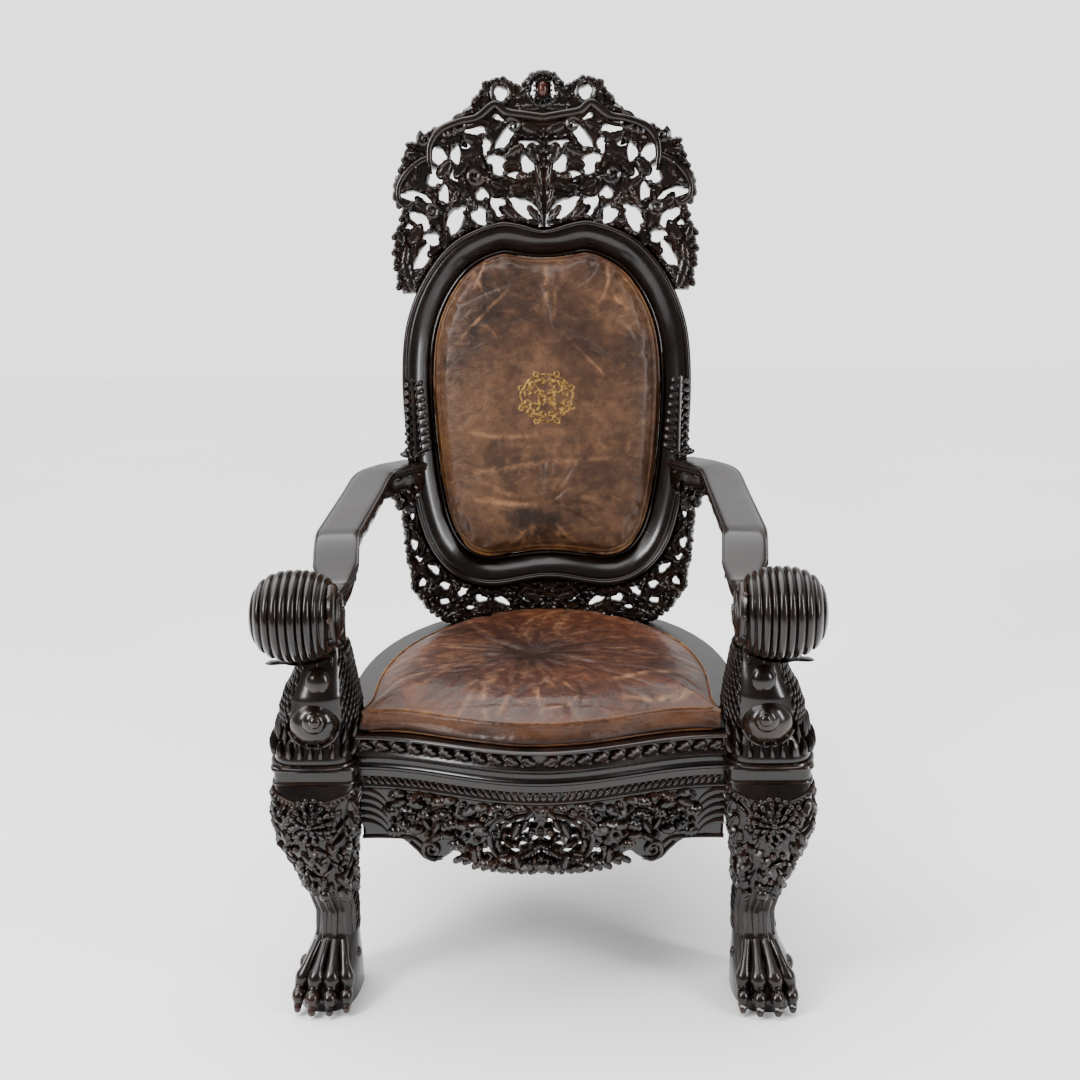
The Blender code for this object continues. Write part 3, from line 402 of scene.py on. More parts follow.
def leaf_at(carving, centre, along, out, length, width, height, motif=None, both=False):
    shape = moved(LEAF if motif is None else motif, facing(centre, along, out, (length, width, height)))
    (carving.add_both if both else carving.add)(shape)


def leaf_on_back(carving, flat, way, depth, length, width, height, motif=None, both=False):
    """A leaf that lies on the back's face, from a flat point along a flat way."""
    base, tip = on_back([flat, np.asarray(flat) + way], depth)
    leaf_at(carving, base, tip - base, FORWARD, length, width, height, motif, both)


def ball_at(carving, centre, radii, both=False, motif=None, finish=0):
    shape = moved(BALL if motif is None else motif,
                  Matrix.Translation(Vector(centre)) @ Matrix.Diagonal((*radii, 1.0)))
    (carving.add_both if both else carving.add)(shape, finish)


def flower_at(carving, centre, out, radius, petals, both=False):
    """Two rings of petals round a button."""
    out = Vector(out).normalized()
    start = out.cross(Vector((0.3, 0.2, 1.0))).normalized()
    for ring, (share, lift, count) in enumerate(((1.0, 0.0, petals), (0.62, 0.22, petals - 1))):
        for step in range(count):
            turn = Matrix.Rotation(2 * math.pi * (step + 0.5 * ring) / count, 3, out)
            shape = moved(PETAL, facing(Vector(centre) + out * radius * lift, turn @ start, out,
                                        (radius * share, radius * share * 4.2 / petals, radius * 0.42)))
            (carving.add_both if both else carving.add)(shape)
    middle = Vector(centre) + out * radius * 0.42
    shape = moved(SMALL_BALL, Matrix.Translation(middle) @ Matrix.Scale(radius * 0.22, 4))
    (carving.add_both if both else carving.add)(shape)


def volute(centre, radius, turns, start_angle, hand, end_share=0.22, steps=26):
    """Flat points of a spiral that winds inwards."""
    share = np.linspace(0.0, 1.0, steps)
    reach = radius * (1 - (1 - end_share) * share ** 0.85)
    angle = start_angle + hand * 2 * math.pi * turns * share
    return np.stack([centre[0] + reach * np.cos(angle), centre[1] + reach * np.sin(angle)], axis=1)


# Openwork: a pierced board with rounded ribs, covered with leaves that follow the ribs.

def inside(points, loop):
    """Which of many flat points lie inside a closed loop."""
    points, loop = np.atleast_2d(points), np.asarray(loop)
    x, y = points[:, 0, None], points[:, 1, None]
    a, b = loop, np.roll(loop, -1, axis=0)
    crosses = (a[:, 1] > y) != (b[:, 1] > y)
    rise = np.where(b[:, 1] == a[:, 1], 1e-12, b[:, 1] - a[:, 1])
    return np.sum(crosses & (x < a[:, 0] + (y - a[:, 1]) / rise * (b[:, 0] - a[:, 0])), axis=1) % 2 == 1


def edge_field(points, loops):
    """For flat points: the distance to the nearest edge of any loop and the unit way to it."""
    starts = np.vstack([np.asarray(loop) for loop in loops])
    ends = np.vstack([np.roll(np.asarray(loop), -1, axis=0) for loop in loops])
    runs = ends - starts
    lengths = np.maximum(np.sum(runs ** 2, axis=1), 1e-14)
    found, ways = [], []
    for block in np.array_split(np.atleast_2d(points), max(1, len(points) // 800)):
        offset = block[:, None] - starts
        share = np.clip(np.sum(offset * runs, axis=2) / lengths, 0.0, 1.0)
        reach = offset - share[..., None] * runs
        size = np.linalg.norm(reach, axis=2)
        best = np.argmin(size, axis=1)
        rows = np.arange(len(block))
        found.append(size[rows, best])
        ways.append(-reach[rows, best] / np.maximum(size[rows, best], 1e-9)[:, None])
    return np.concatenate(found), np.vstack(ways)


def sawn_gap(across, up, length, width, angle, wobble=0.16):
    """The edge of one opening: a long oval with an uneven, leaf-nibbled edge."""
    steps = 14
    turns = np.arange(steps) * 2 * math.pi / steps
    reach = 1 + wobble * np.sin(3 * turns + 40 * across) + 0.5 * wobble * np.sin(5 * turns + 60 * up)
    run = 0.5 * length * reach * np.cos(turns)
    side = 0.5 * width * reach * np.sin(turns)
    lean = math.radians(angle)
    return np.stack([across + run * math.cos(lean) - side * math.sin(lean),
                     up + run * math.sin(lean) + side * math.cos(lean)], axis=1)


def both_sides(gaps):
    return gaps + [(gap * (-1.0, 1.0))[::-1] for gap in gaps]


def ribbed_board(outline, gaps, front, rear, crown, place, spacing=0.0045, soft=0.006):
    """A pierced board whose faces round over towards every edge."""
    outline = np.asarray(outline)
    low, high = outline.min(axis=0), outline.max(axis=0)
    xs, ys = np.arange(low[0], high[0], spacing), np.arange(low[1], high[1], spacing * 0.87)
    grid = np.array([(x + (0.5 * spacing if row % 2 else 0.0), y) for row, y in enumerate(ys) for x in xs])
    grid = grid[inside(grid, outline)]
    reach, _ = edge_field(grid, [outline, *gaps])
    clear = reach > 0.42 * spacing
    for gap in gaps:
        clear &= ~inside(grid, gap)
    grid = grid[clear]
    points, edges = [], []
    for loop in [outline, *gaps]:
        first = len(points)
        points += [Vector(point) for point in loop]
        edges += [(first + s, first + (s + 1) % len(loop)) for s in range(len(loop))]
    points += [Vector(point) for point in grid]
    found, _, triangles, *_ = delaunay_2d_cdt(points, edges, [], 0, 1e-7)
    flat = np.array([point[:] for point in found])
    triangles = np.array([triangle for triangle in triangles if len(triangle) == 3])
    middles = flat[triangles].mean(axis=1)
    kept = inside(middles, outline)
    for gap in gaps:
        kept &= ~inside(middles, gap)
    triangles = triangles[kept]
    first, second, third = flat[triangles[:, 0]], flat[triangles[:, 1]], flat[triangles[:, 2]]
    turn = np.cross(second - first, third - first)
    triangles[turn < 0] = triangles[turn < 0][:, ::-1]
    reach, _ = edge_field(flat, [outline, *gaps])
    round_over = np.sqrt(np.clip(1 - (1 - np.clip(reach / soft, 0, 1)) ** 2, 0, 1))
    count = len(flat)
    vertices = np.vstack([place(flat, front - crown * round_over),
                          place(flat, rear + 0.4 * crown * round_over)])
    sides = {(a, b) for t in triangles.tolist() for a, b in ((t[0], t[1]), (t[1], t[2]), (t[2], t[0]))}
    faces = [tuple(t) for t in triangles.tolist()] + [tuple(i + count for i in reversed(t))
                                                      for t in triangles.tolist()]
    for a, b in sorted(sides):
        if (b, a) not in sides:
            faces.append((b, a, a + count, b + count))
    return outward((vertices, faces))


def foliage(carving, outline, gaps, place, out, source, sizes, spacing, lift, both=True, keep=None):
    """Covers a pierced board with leaves, buds and small flowers that run along its ribs.

    Leaves grow away from source. sizes are the shortest and longest leaf.
    """
    outline = np.asarray(outline)
    low, high = outline.min(axis=0), outline.max(axis=0)
    step = 0.0035
    grid = np.array([(x, y) for x in np.arange(0.0 if both else low[0], high[0], step)
                     for y in np.arange(low[1], high[1], step)])
    grid = grid[inside(grid, outline)]
    for gap in gaps:
        grid = grid[~inside(grid, gap)]
    if keep is not None:
        grid = grid[keep(grid)]
    reach, way = edge_field(grid, [outline, *gaps])
    order = sorted(range(len(grid)), key=lambda i: -reach[i] - chance.uniform(0.0, 0.003))
    taken = []
    for index in order:
        room = reach[index]
        if room < 0.0032:
            continue
        point = grid[index]
        pitch = spacing * (0.75 + min(1.0, room / 0.012) * 0.6)
        if taken and np.min(np.linalg.norm(np.array(taken) - point, axis=1)) < pitch:
            continue
        taken.append(point)
        along = np.array((-way[index][1], way[index][0]))
        grow = point - source
        if along.dot(grow) < 0:
            along = -along
        turn = chance.uniform(-0.5, 0.5)
        along = np.array((along[0] * math.cos(turn) - along[1] * math.sin(turn),
                          along[0] * math.sin(turn) + along[1] * math.cos(turn)))
        length = min(sizes[1], max(sizes[0], 3.6 * room)) * chance.uniform(0.9, 1.15)
        width = length * chance.uniform(0.50, 0.66)
        centre = place([point - along * 0.45 * length], lift)[0]
        ahead = place([point + along * 0.55 * length], lift)[0] - centre
        kind = chance.random()
        if kind < 0.10 and room > 0.009:
            middle = place([point], lift - 0.002)[0]
            flower_at(carving, middle, out, 0.42 * length, 6, both=both)
        elif kind < 0.18:
            middle = place([point], lift - 0.003)[0]
            ball_at(carving, middle, (0.0055, 0.0055, 0.0055), both=both, motif=SMALL_BALL)
        else:
            leaf_at(carving, centre, ahead, out, length, width, 0.0075 + 0.0045 * chance.random(),
                    motif=LONG_LEAF if kind > 0.75 else LEAF, both=both)


# The back's hoop: one moulded frame in two lengths

HOOP_SHAPE = (
    (0.0, 0.712), (0.18, 0.724), (0.335, 0.726), (0.62, 0.694), (0.83, 0.630), (0.96, 0.548),
    (1.0, 0.455), (0.985, 0.340), (0.93, 0.215), (0.83, 0.126), (0.65, 0.072), (0.40, 0.052), (0.0, 0.066),
)
HOOP_STEPS = 224
JOINT_STEP = 84


def scaled(shape):
    return np.asarray(shape) * (BACK_HALF_WIDTH, BACK_HEIGHT)


def hoop_outline():
    half = scaled(HOOP_SHAPE)
    return smooth_path(np.vstack([half, (half[1:-1] * (-1.0, 1.0))[::-1]]), HOOP_STEPS, closed=True)


HOOP = hoop_outline()
HOOP_RUN = np.roll(HOOP, -1, axis=0) - np.roll(HOOP, 1, axis=0)
HOOP_OUT = np.stack([-HOOP_RUN[:, 1], HOOP_RUN[:, 0]], axis=1) / np.linalg.norm(HOOP_RUN, axis=1)[:, None]

HOOP_RINGS = {}


def hoop_offset(step, distance):
    """A point at a distance outside the hoop's outline; well inside, the curve is eased so it can't pinch."""
    key = round(distance, 5)
    if key not in HOOP_RINGS:
        ring = HOOP + HOOP_OUT * distance
        for _ in range(int(max(0.0, -distance) * 300)):
            ring = 0.5 * ring + 0.25 * (np.roll(ring, 1, axis=0) + np.roll(ring, -1, axis=0))
        HOOP_RINGS[key] = ring
    return HOOP_RINGS[key][step % HOOP_STEPS]


HOOP_SECTION = (
    (0, 21), (0, -15), (0.6, -20), (2.4, -24), (5.0, -25.6), (7.8, -25.0), (9.8, -22.6), (10.6, -20.2),
    (11.6, -19.6), (14, -20.6), (19, -20.6), (25, -18.6), (32, -14.4), (39, -9.4), (44.5, -5.6), (47.0, -3.8),
    (47.6, -2.0), (48.4, -3.6), (50.2, -6.2), (52.6, -6.4), (54.4, -4.2), (55, -1.0), (55, 20), (53, 22),
    (2, 22),
)


def make_hoop(name, first, last, node):
    rings = []
    for step in range(first, last + 1):
        run = HOOP_RUN[step % HOOP_STEPS] / np.linalg.norm(HOOP_RUN[step % HOOP_STEPS])
        trim = GAP if step == first else -GAP if step == last else 0.0
        flat = [hoop_offset(step, -inward / 1000) + run * trim for inward, _ in HOOP_SECTION]
        rings.append(on_back(flat, np.array([depth / 1000 for _, depth in HOOP_SECTION])))
    carving = Carving()
    carving.add(loft(rings))
    settle(carving.make(name, [hoop_wood], crease=50.0), [node])


make_hoop("hoop_upper", -JOINT_STEP, JOINT_STEP, "back_frame_upper")
make_hoop("hoop_lower", JOINT_STEP, HOOP_STEPS - JOINT_STEP, "back_frame_lower")


# The crest: openwork round a red jewel, with a smooth S-shaped moulding over it

CREST_SHAPE = (
    (0.0, 1.0), (0.09, 0.993), (0.165, 0.968), (0.30, 0.984), (0.43, 0.962), (0.53, 0.930), (0.66, 0.906),
    (0.76, 0.899), (0.825, 0.877), (0.93, 0.864), (0.955, 0.838), (1.03, 0.805), (1.03, 0.772),
    (0.97, 0.750), (1.02, 0.705), (1.03, 0.655), (0.99, 0.600),
)
MOULDING_SHAPE = (
    (0.0, 0.913), (0.12, 0.918), (0.25, 0.924), (0.33, 0.938), (0.45, 0.915), (0.57, 0.908), (0.70, 0.894),
    (0.77, 0.872), (0.785, 0.845), (0.775, 0.828),
)
SIDE_SCROLL_SHAPE = (
    (0.78, 0.845), (0.86, 0.836), (0.95, 0.816), (1.0, 0.792), (0.995, 0.768), (0.94, 0.756), (0.90, 0.764),
)
JEWEL_HEIGHT = 0.957
CREST_FACE = -0.004
CREST_REAR = 0.014
CREST_GAPS = (
    (0.018, 0.958, 0.026, 0.008, 96), (0.077, 0.952, 0.026, 0.020, 70), (0.077, 0.912, 0.021, 0.014, 10),
    (0.125, 0.889, 0.040, 0.015, 4), (0.069, 0.876, 0.050, 0.017, 125), (0.026, 0.861, 0.034, 0.013, 14),
    (0.105, 0.859, 0.027, 0.012, 92), (0.143, 0.862, 0.015, 0.012, 40), (0.195, 0.846, 0.036, 0.022, 43),
    (0.161, 0.845, 0.029, 0.016, 92), (0.030, 0.825, 0.030, 0.019, 60), (0.086, 0.827, 0.037, 0.024, 60),
    (0.200, 0.804, 0.029, 0.022, 80), (0.055, 0.807, 0.021, 0.010, 4), (0.165, 0.806, 0.018, 0.012, 70),
    (0.184, 0.774, 0.030, 0.016, 95), (0.113, 0.772, 0.022, 0.017, 30), (0.236, 0.771, 0.052, 0.015, 12),
    (0.084, 0.752, 0.036, 0.021, 64), (0.037, 0.748, 0.050, 0.024, 33), (0.119, 0.734, 0.030, 0.022, 60),
    (0.163, 0.728, 0.047, 0.024, 115), (0.228, 0.728, 0.042, 0.018, 42), (0.208, 0.694, 0.028, 0.017, 20),
    (0.225, 0.662, 0.048, 0.018, 118), (0.249, 0.716, 0.012, 0.010, 0), (0.247, 0.690, 0.014, 0.007, 60),
)


def leafy_edge(edge, pitch, depth):
    """Scallops on a free edge, as of small leaves in a row."""
    edge = np.asarray(edge)
    run = np.gradient(edge, axis=0)
    out = np.stack([-run[:, 1], run[:, 0]], axis=1) / np.linalg.norm(run, axis=1)[:, None]
    along = np.concatenate([[0.0], np.cumsum(np.linalg.norm(np.diff(edge, axis=0), axis=1))])
    swell = np.abs(np.sin(math.pi * along / pitch)) ** 0.6 - 0.55
    fade = np.clip(np.minimum(along, along[-1] - along) / pitch, 0.0, 1.0)
    return edge + out * (depth * swell * fade)[:, None]


def make_crest():
    edge = leafy_edge(smooth_path(scaled(CREST_SHAPE), 190), 0.015, 0.0035)
    edge[0, 0] = 0.0
    reach = max(step for step in range(HOOP_STEPS // 2) if HOOP[step][1] > edge[-1][1])
    foot = np.array([hoop_offset(step, 2 * GAP) for step in range(reach, 0, -1)])
    right = np.vstack([edge, foot])
    left = (right[1:] * (-1.0, 1.0))[::-1]
    outline = np.vstack([right, [hoop_offset(0, 2 * GAP)], left])
    gaps = both_sides([sawn_gap(across, up, 1.10 * length, 1.16 * width, angle)
                       for across, up, length, width, angle in CREST_GAPS])
    carving = Carving()
    carving.add(ribbed_board(outline, gaps, CREST_FACE, CREST_REAR, 0.008, on_back))
    out = Vector(FORWARD)

    def clear_of_moulding(points):
        reach, _ = edge_field(points, [scaled(MOULDING_SHAPE), scaled(SIDE_SCROLL_SHAPE)])
        jewel = np.hypot(points[:, 0], points[:, 1] - JEWEL_HEIGHT) > 0.036
        return (reach > 0.012) & jewel & (points[:, 0] > 0.015)

    foliage(carving, outline, gaps, on_back, out, np.array((0.0, 0.72)), (0.020, 0.040), 0.0158, -0.0100,
            keep=clear_of_moulding)
    # Leaves that stand out along the free edge.
    rim = smooth_path(scaled(CREST_SHAPE), 40)
    for step in range(3, 39):
        share = rim[step][0] / BACK_HALF_WIDTH
        if 0.44 < share < 0.80 and rim[step][1] > 0.85 or abs(rim[step][1] - 0.790) < 0.022:
            continue
        run = rim[min(step + 1, 39)] - rim[step - 1]
        outwards = np.array((-run[1], run[0])) / np.linalg.norm(run)
        lean = 0.35 * outwards + run / np.linalg.norm(run) * (1 if step % 2 else 0.5)
        leaf_on_back(carving, rim[step] - outwards * 0.007 - run * 0.4, lean, -0.008,
                     0.019 + 0.003 * (step % 3), 0.014, 0.009, both=True)
    # Wreath, loops and stalk.
    jewel = np.array((0.0, JEWEL_HEIGHT))
    for step in range(15):
        turn = 2 * math.pi * step / 15
        way = np.array((math.sin(turn), math.cos(turn)))
        leaf_on_back(carving, jewel + way * 0.026, way, -0.014, 0.0145, 0.010, 0.007, PETAL)
        ball_at(carving, on_back([jewel + way * (0.0155, 0.0205)], -0.0125)[0], (0.0026, 0.0026, 0.0026),
                motif=SMALL_BALL)
    ring = [jewel + np.array((math.sin(t), math.cos(t))) * (0.0275, 0.030)
            for t in np.linspace(0, 2 * math.pi, 40, endpoint=False)]
    carving.add(bar(on_back(ring, -0.012), 0.0034, 8, FORWARD, closed=True))
    ball_at(carving, on_back([jewel], -0.011)[0], (0.0098, 0.009, 0.0145), finish=1)
    for side in (1, -1):
        loop = [(side * (0.077 + 0.0165 * math.cos(t)), 0.952 + 0.019 * math.sin(t))
                for t in np.linspace(0, 2 * math.pi, 30, endpoint=False)]
        carving.add(bar(on_back(loop, -0.012), 0.0046, 8, FORWARD, closed=True))
        top = smooth_path(scaled(MOULDING_SHAPE) * (side, 1.0), 60)
        carving.add(bar(on_back(top, -0.0150), 0.0088 - 0.0028 * np.linspace(0, 1, 60) ** 3, 10, FORWARD,
                        0.9), 2)
        carving.add(bar(on_back(top - (0.0, 0.0125), -0.0110), 0.0036, 6, FORWARD), 2)
        scroll = smooth_path(scaled(SIDE_SCROLL_SHAPE) * (side, 1.0), 40)
        carving.add(bar(on_back(scroll, -0.0130), 0.0072 - 0.0022 * np.linspace(0, 1, 40), 10, FORWARD, 0.9),
                    2)
        stalk = smooth_path([(side * 0.0065, 0.712), (side * 0.0085, 0.76), (side * 0.006, 0.80),
                             (side * 0.009, 0.835), (side * 0.026, 0.862)], 26)
        carving.add(bar(on_back(stalk, -0.010), 0.0062 - 0.0032 * np.linspace(0, 1, 26), 8, FORWARD))
        for height, lean, size in ((0.735, 0.25, 0.050), (0.775, 0.16, 0.054), (0.716, 0.65, 0.044)):
            leaf_on_back(carving, (side * 0.004, height), (side * math.sin(lean), math.cos(lean)), -0.014,
                         size, 0.017, 0.009, LONG_LEAF)
        for centre, size, start, hand in (((0.150, 0.897), 0.017, 2.0, -1), ((0.215, 0.872), 0.014, 1.2, -1),
                                          ((0.054, 0.893), 0.014, 0.6, 1), ((0.125, 0.805), 0.017, 3.5, 1),
                                          ((0.205, 0.745), 0.015, 5.0, -1), ((0.100, 0.712), 0.013, 1.0, 1)):
            curl = volute(centre, size, 1.35, start, hand) * (side, 1.0)
            carving.add(bar(on_back(curl, -0.0150), 0.0048 - 0.0016 * np.linspace(0, 1, 26), 8, FORWARD))
    for height, spread in ((0.842, 0.018), (0.815, 0.014), (0.868, 0.012)):
        for lean in (-0.9, 0.0, 0.9):
            leaf_on_back(carving, (0.0, height), (math.sin(lean), math.cos(lean)), -0.014, 0.022, spread,
                         0.009)
    for centre, size in (((0.128, 0.918), 0.012), ((0.243, 0.838), 0.011), ((0.238, 0.800), 0.010),
                         ((0.150, 0.764), 0.013), ((0.262, 0.640), 0.011), ((0.232, 0.632), 0.009)):
        flower_at(carving, on_back([centre], -0.0115)[0], out, size * 1.15, 6, both=True)
    # The back is left plainer: long shallow leaves along the ribs.
    for centre in ((0.06, 0.73), (0.14, 0.86), (0.13, 0.79), (0.21, 0.82), (0.215, 0.75), (0.05, 0.78),
                   (0.095, 0.93)):
        base = on_back([centre], CREST_REAR + 0.001)[0]
        leaf_at(carving, base, (0.7, 0.0, 0.7), -out, 0.034, 0.016, 0.005, motif=LONG_LEAF, both=True)
    settle(carving.make("crest", [carved_wood, red_wood, hoop_wood]), ["crest_carving"])


# The lower carving: a leafy border round the foot of the hoop

LOWER_SHAPE = ((1.0, 0.240), (1.03, 0.190), (1.01, 0.135), (0.985, 0.085), (0.95, 0.040), (0.83, 0.002))
LOWER_FOOT_SHARE = 0.70
LOWER_GAPS = (
    (0.252, 0.130, 0.020, 0.012, 80), (0.243, 0.102, 0.018, 0.010, 60), (0.216, 0.083, 0.026, 0.013, 40),
    (0.238, 0.058, 0.018, 0.011, 120), (0.196, 0.052, 0.019, 0.014, 20), (0.163, 0.040, 0.021, 0.014, 150),
    (0.196, 0.022, 0.022, 0.011, 170), (0.128, 0.027, 0.021, 0.014, 10), (0.150, 0.010, 0.016, 0.008, 0),
    (0.088, 0.022, 0.030, 0.012, 25), (0.040, 0.026, 0.018, 0.010, 0), (0.255, 0.185, 0.016, 0.007, 90),
)


def make_lower():
    foot = (DECK_TOP + GAP - BACK_Z + 0.018 * math.sin(RAKE)) / math.cos(RAKE)
    free = smooth_path(np.vstack([scaled(LOWER_SHAPE), [(LOWER_FOOT_SHARE * BACK_HALF_WIDTH, foot)]]), 70)
    free = leafy_edge(free, 0.016, 0.003)
    free[:, 1] = np.maximum(free[:, 1], foot)
    flat = np.array([(across, foot) for across in np.linspace(free[-1][0], 0.0, 26)[1:]])
    edge = np.vstack([free, flat])
    start = min(step for step in range(HOOP_STEPS // 2) if HOOP[step][1] < edge[0][1])
    border = np.array([hoop_offset(step, 2 * GAP) for step in range(start, HOOP_STEPS // 2 + 1)])
    right = np.vstack([border[::-1], edge])
    outline = np.vstack([right, (right[1:-1] * (-1.0, 1.0))[::-1]])
    gaps = both_sides([sawn_gap(*gap) for gap in LOWER_GAPS])
    gaps = [gap for gap in gaps if inside(gap, outline).all()
            and edge_field(gap, [outline])[0].min() > 0.0025]
    carving = Carving()
    carving.add(ribbed_board(outline, gaps, CREST_FACE, CREST_REAR, 0.007, on_back, spacing=0.004))
    foliage(carving, outline, gaps, on_back, Vector(FORWARD), np.array((0.0, 0.2)), (0.013, 0.030), 0.0108,
            -0.0095)
    flower_at(carving, on_back([(0.222, 0.028)], -0.0105)[0], FORWARD, 0.0165, 8, both=True)
    flower_at(carving, on_back([(0.0, 0.027)], -0.0100)[0], FORWARD, 0.015, 7)
    for side in (-1, 1):
        way = (side * (math.sin(1.3) - 0.010), math.cos(1.3))
        leaf_on_back(carving, (0.010 * side, 0.026), way, -0.010, 0.040, 0.024, 0.010)
    settle(carving.make("lower_openwork", [carved_wood]), ["lower_carving"])


# Leaf strips on the hoop above the arms: a herringbone of lobes over a flower clasp

STRIP_ROWS = 9
STRIP_LENGTH = 0.139
LOBE_LEAN = math.radians(62)


def make_leaf_strips():
    for side, name in ((-1, "left"), (1, "right")):
        carving = Carving()
        low = (ARM_REAR_TOP - BACK_Z) / math.cos(RAKE) + 0.006
        spine = np.array([(side * BACK_HALF_WIDTH * (0.906 + 0.019 * t), low + STRIP_LENGTH * t)
                          for t in np.linspace(0, 1, 12)])
        carving.add(bar(on_back(spine, -HOOP_PROUD - 0.004), 0.0115 - 0.0065 * np.linspace(0, 1, 12), 10,
                        FORWARD, 0.36))
        carving.add(bar(on_back(spine, -HOOP_PROUD - 0.0125), 0.0034, 8, FORWARD))
        for row in range(STRIP_ROWS):
            share = (row + 0.1) / STRIP_ROWS
            base = spine[0] + (spine[-1] - spine[0]) * share
            for hand in (-1, 1):
                way = np.array((hand * math.sin(LOBE_LEAN), math.cos(LOBE_LEAN)))
                reach = (0.024 if hand == side else 0.034) * (1 - 0.38 * share)
                leaf_on_back(carving, base + 0.5 * reach * way, way, -HOOP_PROUD - 0.0085, reach, 0.0190,
                             0.0120, PETAL)
        tip = on_back([spine[-1] - (0.0, 0.004)], -HOOP_PROUD - 0.006)[0]
        leaf_at(carving, tip, LEAN.to_3x3() @ Vector((0, 0, 1)), FORWARD, 0.014, 0.010, 0.007, motif=PETAL)
        settle(carving.make("leaf_strip_" + name, [carved_wood]), ["back_leaf_" + name])


make_crest()
make_lower()
make_leaf_strips()


# Arms: a flat polished board with beaded edges over a carved side, ending in a ribbed scroll

def back_plane_y(height, proud):
    along = (height - BACK_Z - proud * math.sin(RAKE)) / math.cos(RAKE)
    return BACK_Y + along * math.sin(RAKE) - proud * math.cos(RAKE)


def arm_path():
    lower = SCROLL_Z + 0.30 * SCROLL_RADIUS
    upper = lower + 0.66 * (ARM_REAR_TOP - lower)
    rear_y = back_plane_y(ARM_REAR_TOP, HOOP_PROUD)
    rear_x, bend_x, front_x, tip_x = BACK_HALF_WIDTH - 0.016, LEG_X - 0.0375, LEG_X - 0.0265, LEG_X - 0.0340
    step_start, step_end = LEG_Y + 0.117, LEG_Y + 0.023
    path = [(rear_x - 0.004, rear_y - 0.001, ARM_REAR_TOP), (rear_x + 0.010, rear_y - 0.022, ARM_REAR_TOP),
            (rear_x + 0.6 * (bend_x - rear_x), rear_y - 0.052, ARM_REAR_TOP),
            (bend_x, rear_y - 0.092, ARM_REAR_TOP - 0.15 * (ARM_REAR_TOP - upper)),
            ((bend_x + front_x) / 2, (rear_y + step_start) / 2, (ARM_REAR_TOP + upper) / 2),
            (front_x, step_start + 0.004, upper + 0.0015)]
    slope = smooth_path(path, 40)
    fall = []
    for share in np.linspace(0.05, 1.0, 14):
        ease = share ** 1.7 * (1.9 - 0.9 * share)
        fall.append((front_x + (tip_x - front_x) * share, step_start + (step_end - step_start) * share ** 0.8,
                     upper + (lower - upper) * min(1.0, ease)))
    end = [(tip_x, step_end - 0.020, lower), (tip_x, SCROLL_Y + 0.045, lower),
           (tip_x, SCROLL_Y + 0.2 * SCROLL_RADIUS, lower)]
    return np.vstack([slope, fall, end])


def arm_rings(path, section, widths):
    rings = []
    for step, point in enumerate(path):
        run = path[min(step + 1, len(path) - 1)] - path[max(step - 1, 0)]
        across = np.array((run[1], -run[0], 0.0))
        across /= np.linalg.norm(across)
        ring = []
        for out, down in section:
            ring.append(point - across * out * ARM_HALF_WIDTH * widths[step] - np.array((0.0, 0.0, down)))
        rings.append(ring)
    return rings


# The arm board's section, across and down from its middle: out in half widths, down in metres.
ARM_HALF_WIDTH = 0.035
ARM_BOARD = (
    (0.0, 0.0), (0.60, 0.0), (0.86, 0.0004), (0.90, 0.0015), (0.93, 0.0008), (0.99, 0.0014), (1.02, 0.0036),
    (1.02, 0.0060), (0.97, 0.0082), (0.93, 0.0086), (0.95, 0.0102), (0.98, 0.0122), (0.94, 0.0145),
    (0.84, 0.0152), (0.0, 0.0152),
)
# The carved body under it: out in half widths, and which of five levels the point lies on.
ARM_BODY = ((0.80, 0), (0.84, 1), (0.80, 2), (0.60, 3), (0, 4),
            (-0.60, 3), (-0.80, 2), (-0.84, 1), (-0.80, 0))
# Where the grooves run round the scroll, as shares of its length.
SCROLL_GROOVES = (0.05, 0.12, 0.20, 0.27, 0.36, 0.43, 0.53, 0.62, 0.72, 0.82, 0.92, 0.985)
GROOVE_DEPTH = 0.0075


def scroll_radius(share):
    """The barrel's reach along its length, as a share of its largest."""
    return max(0.10, (1 - abs(2 * share - 1) ** 2.5) ** (1 / 2.5))


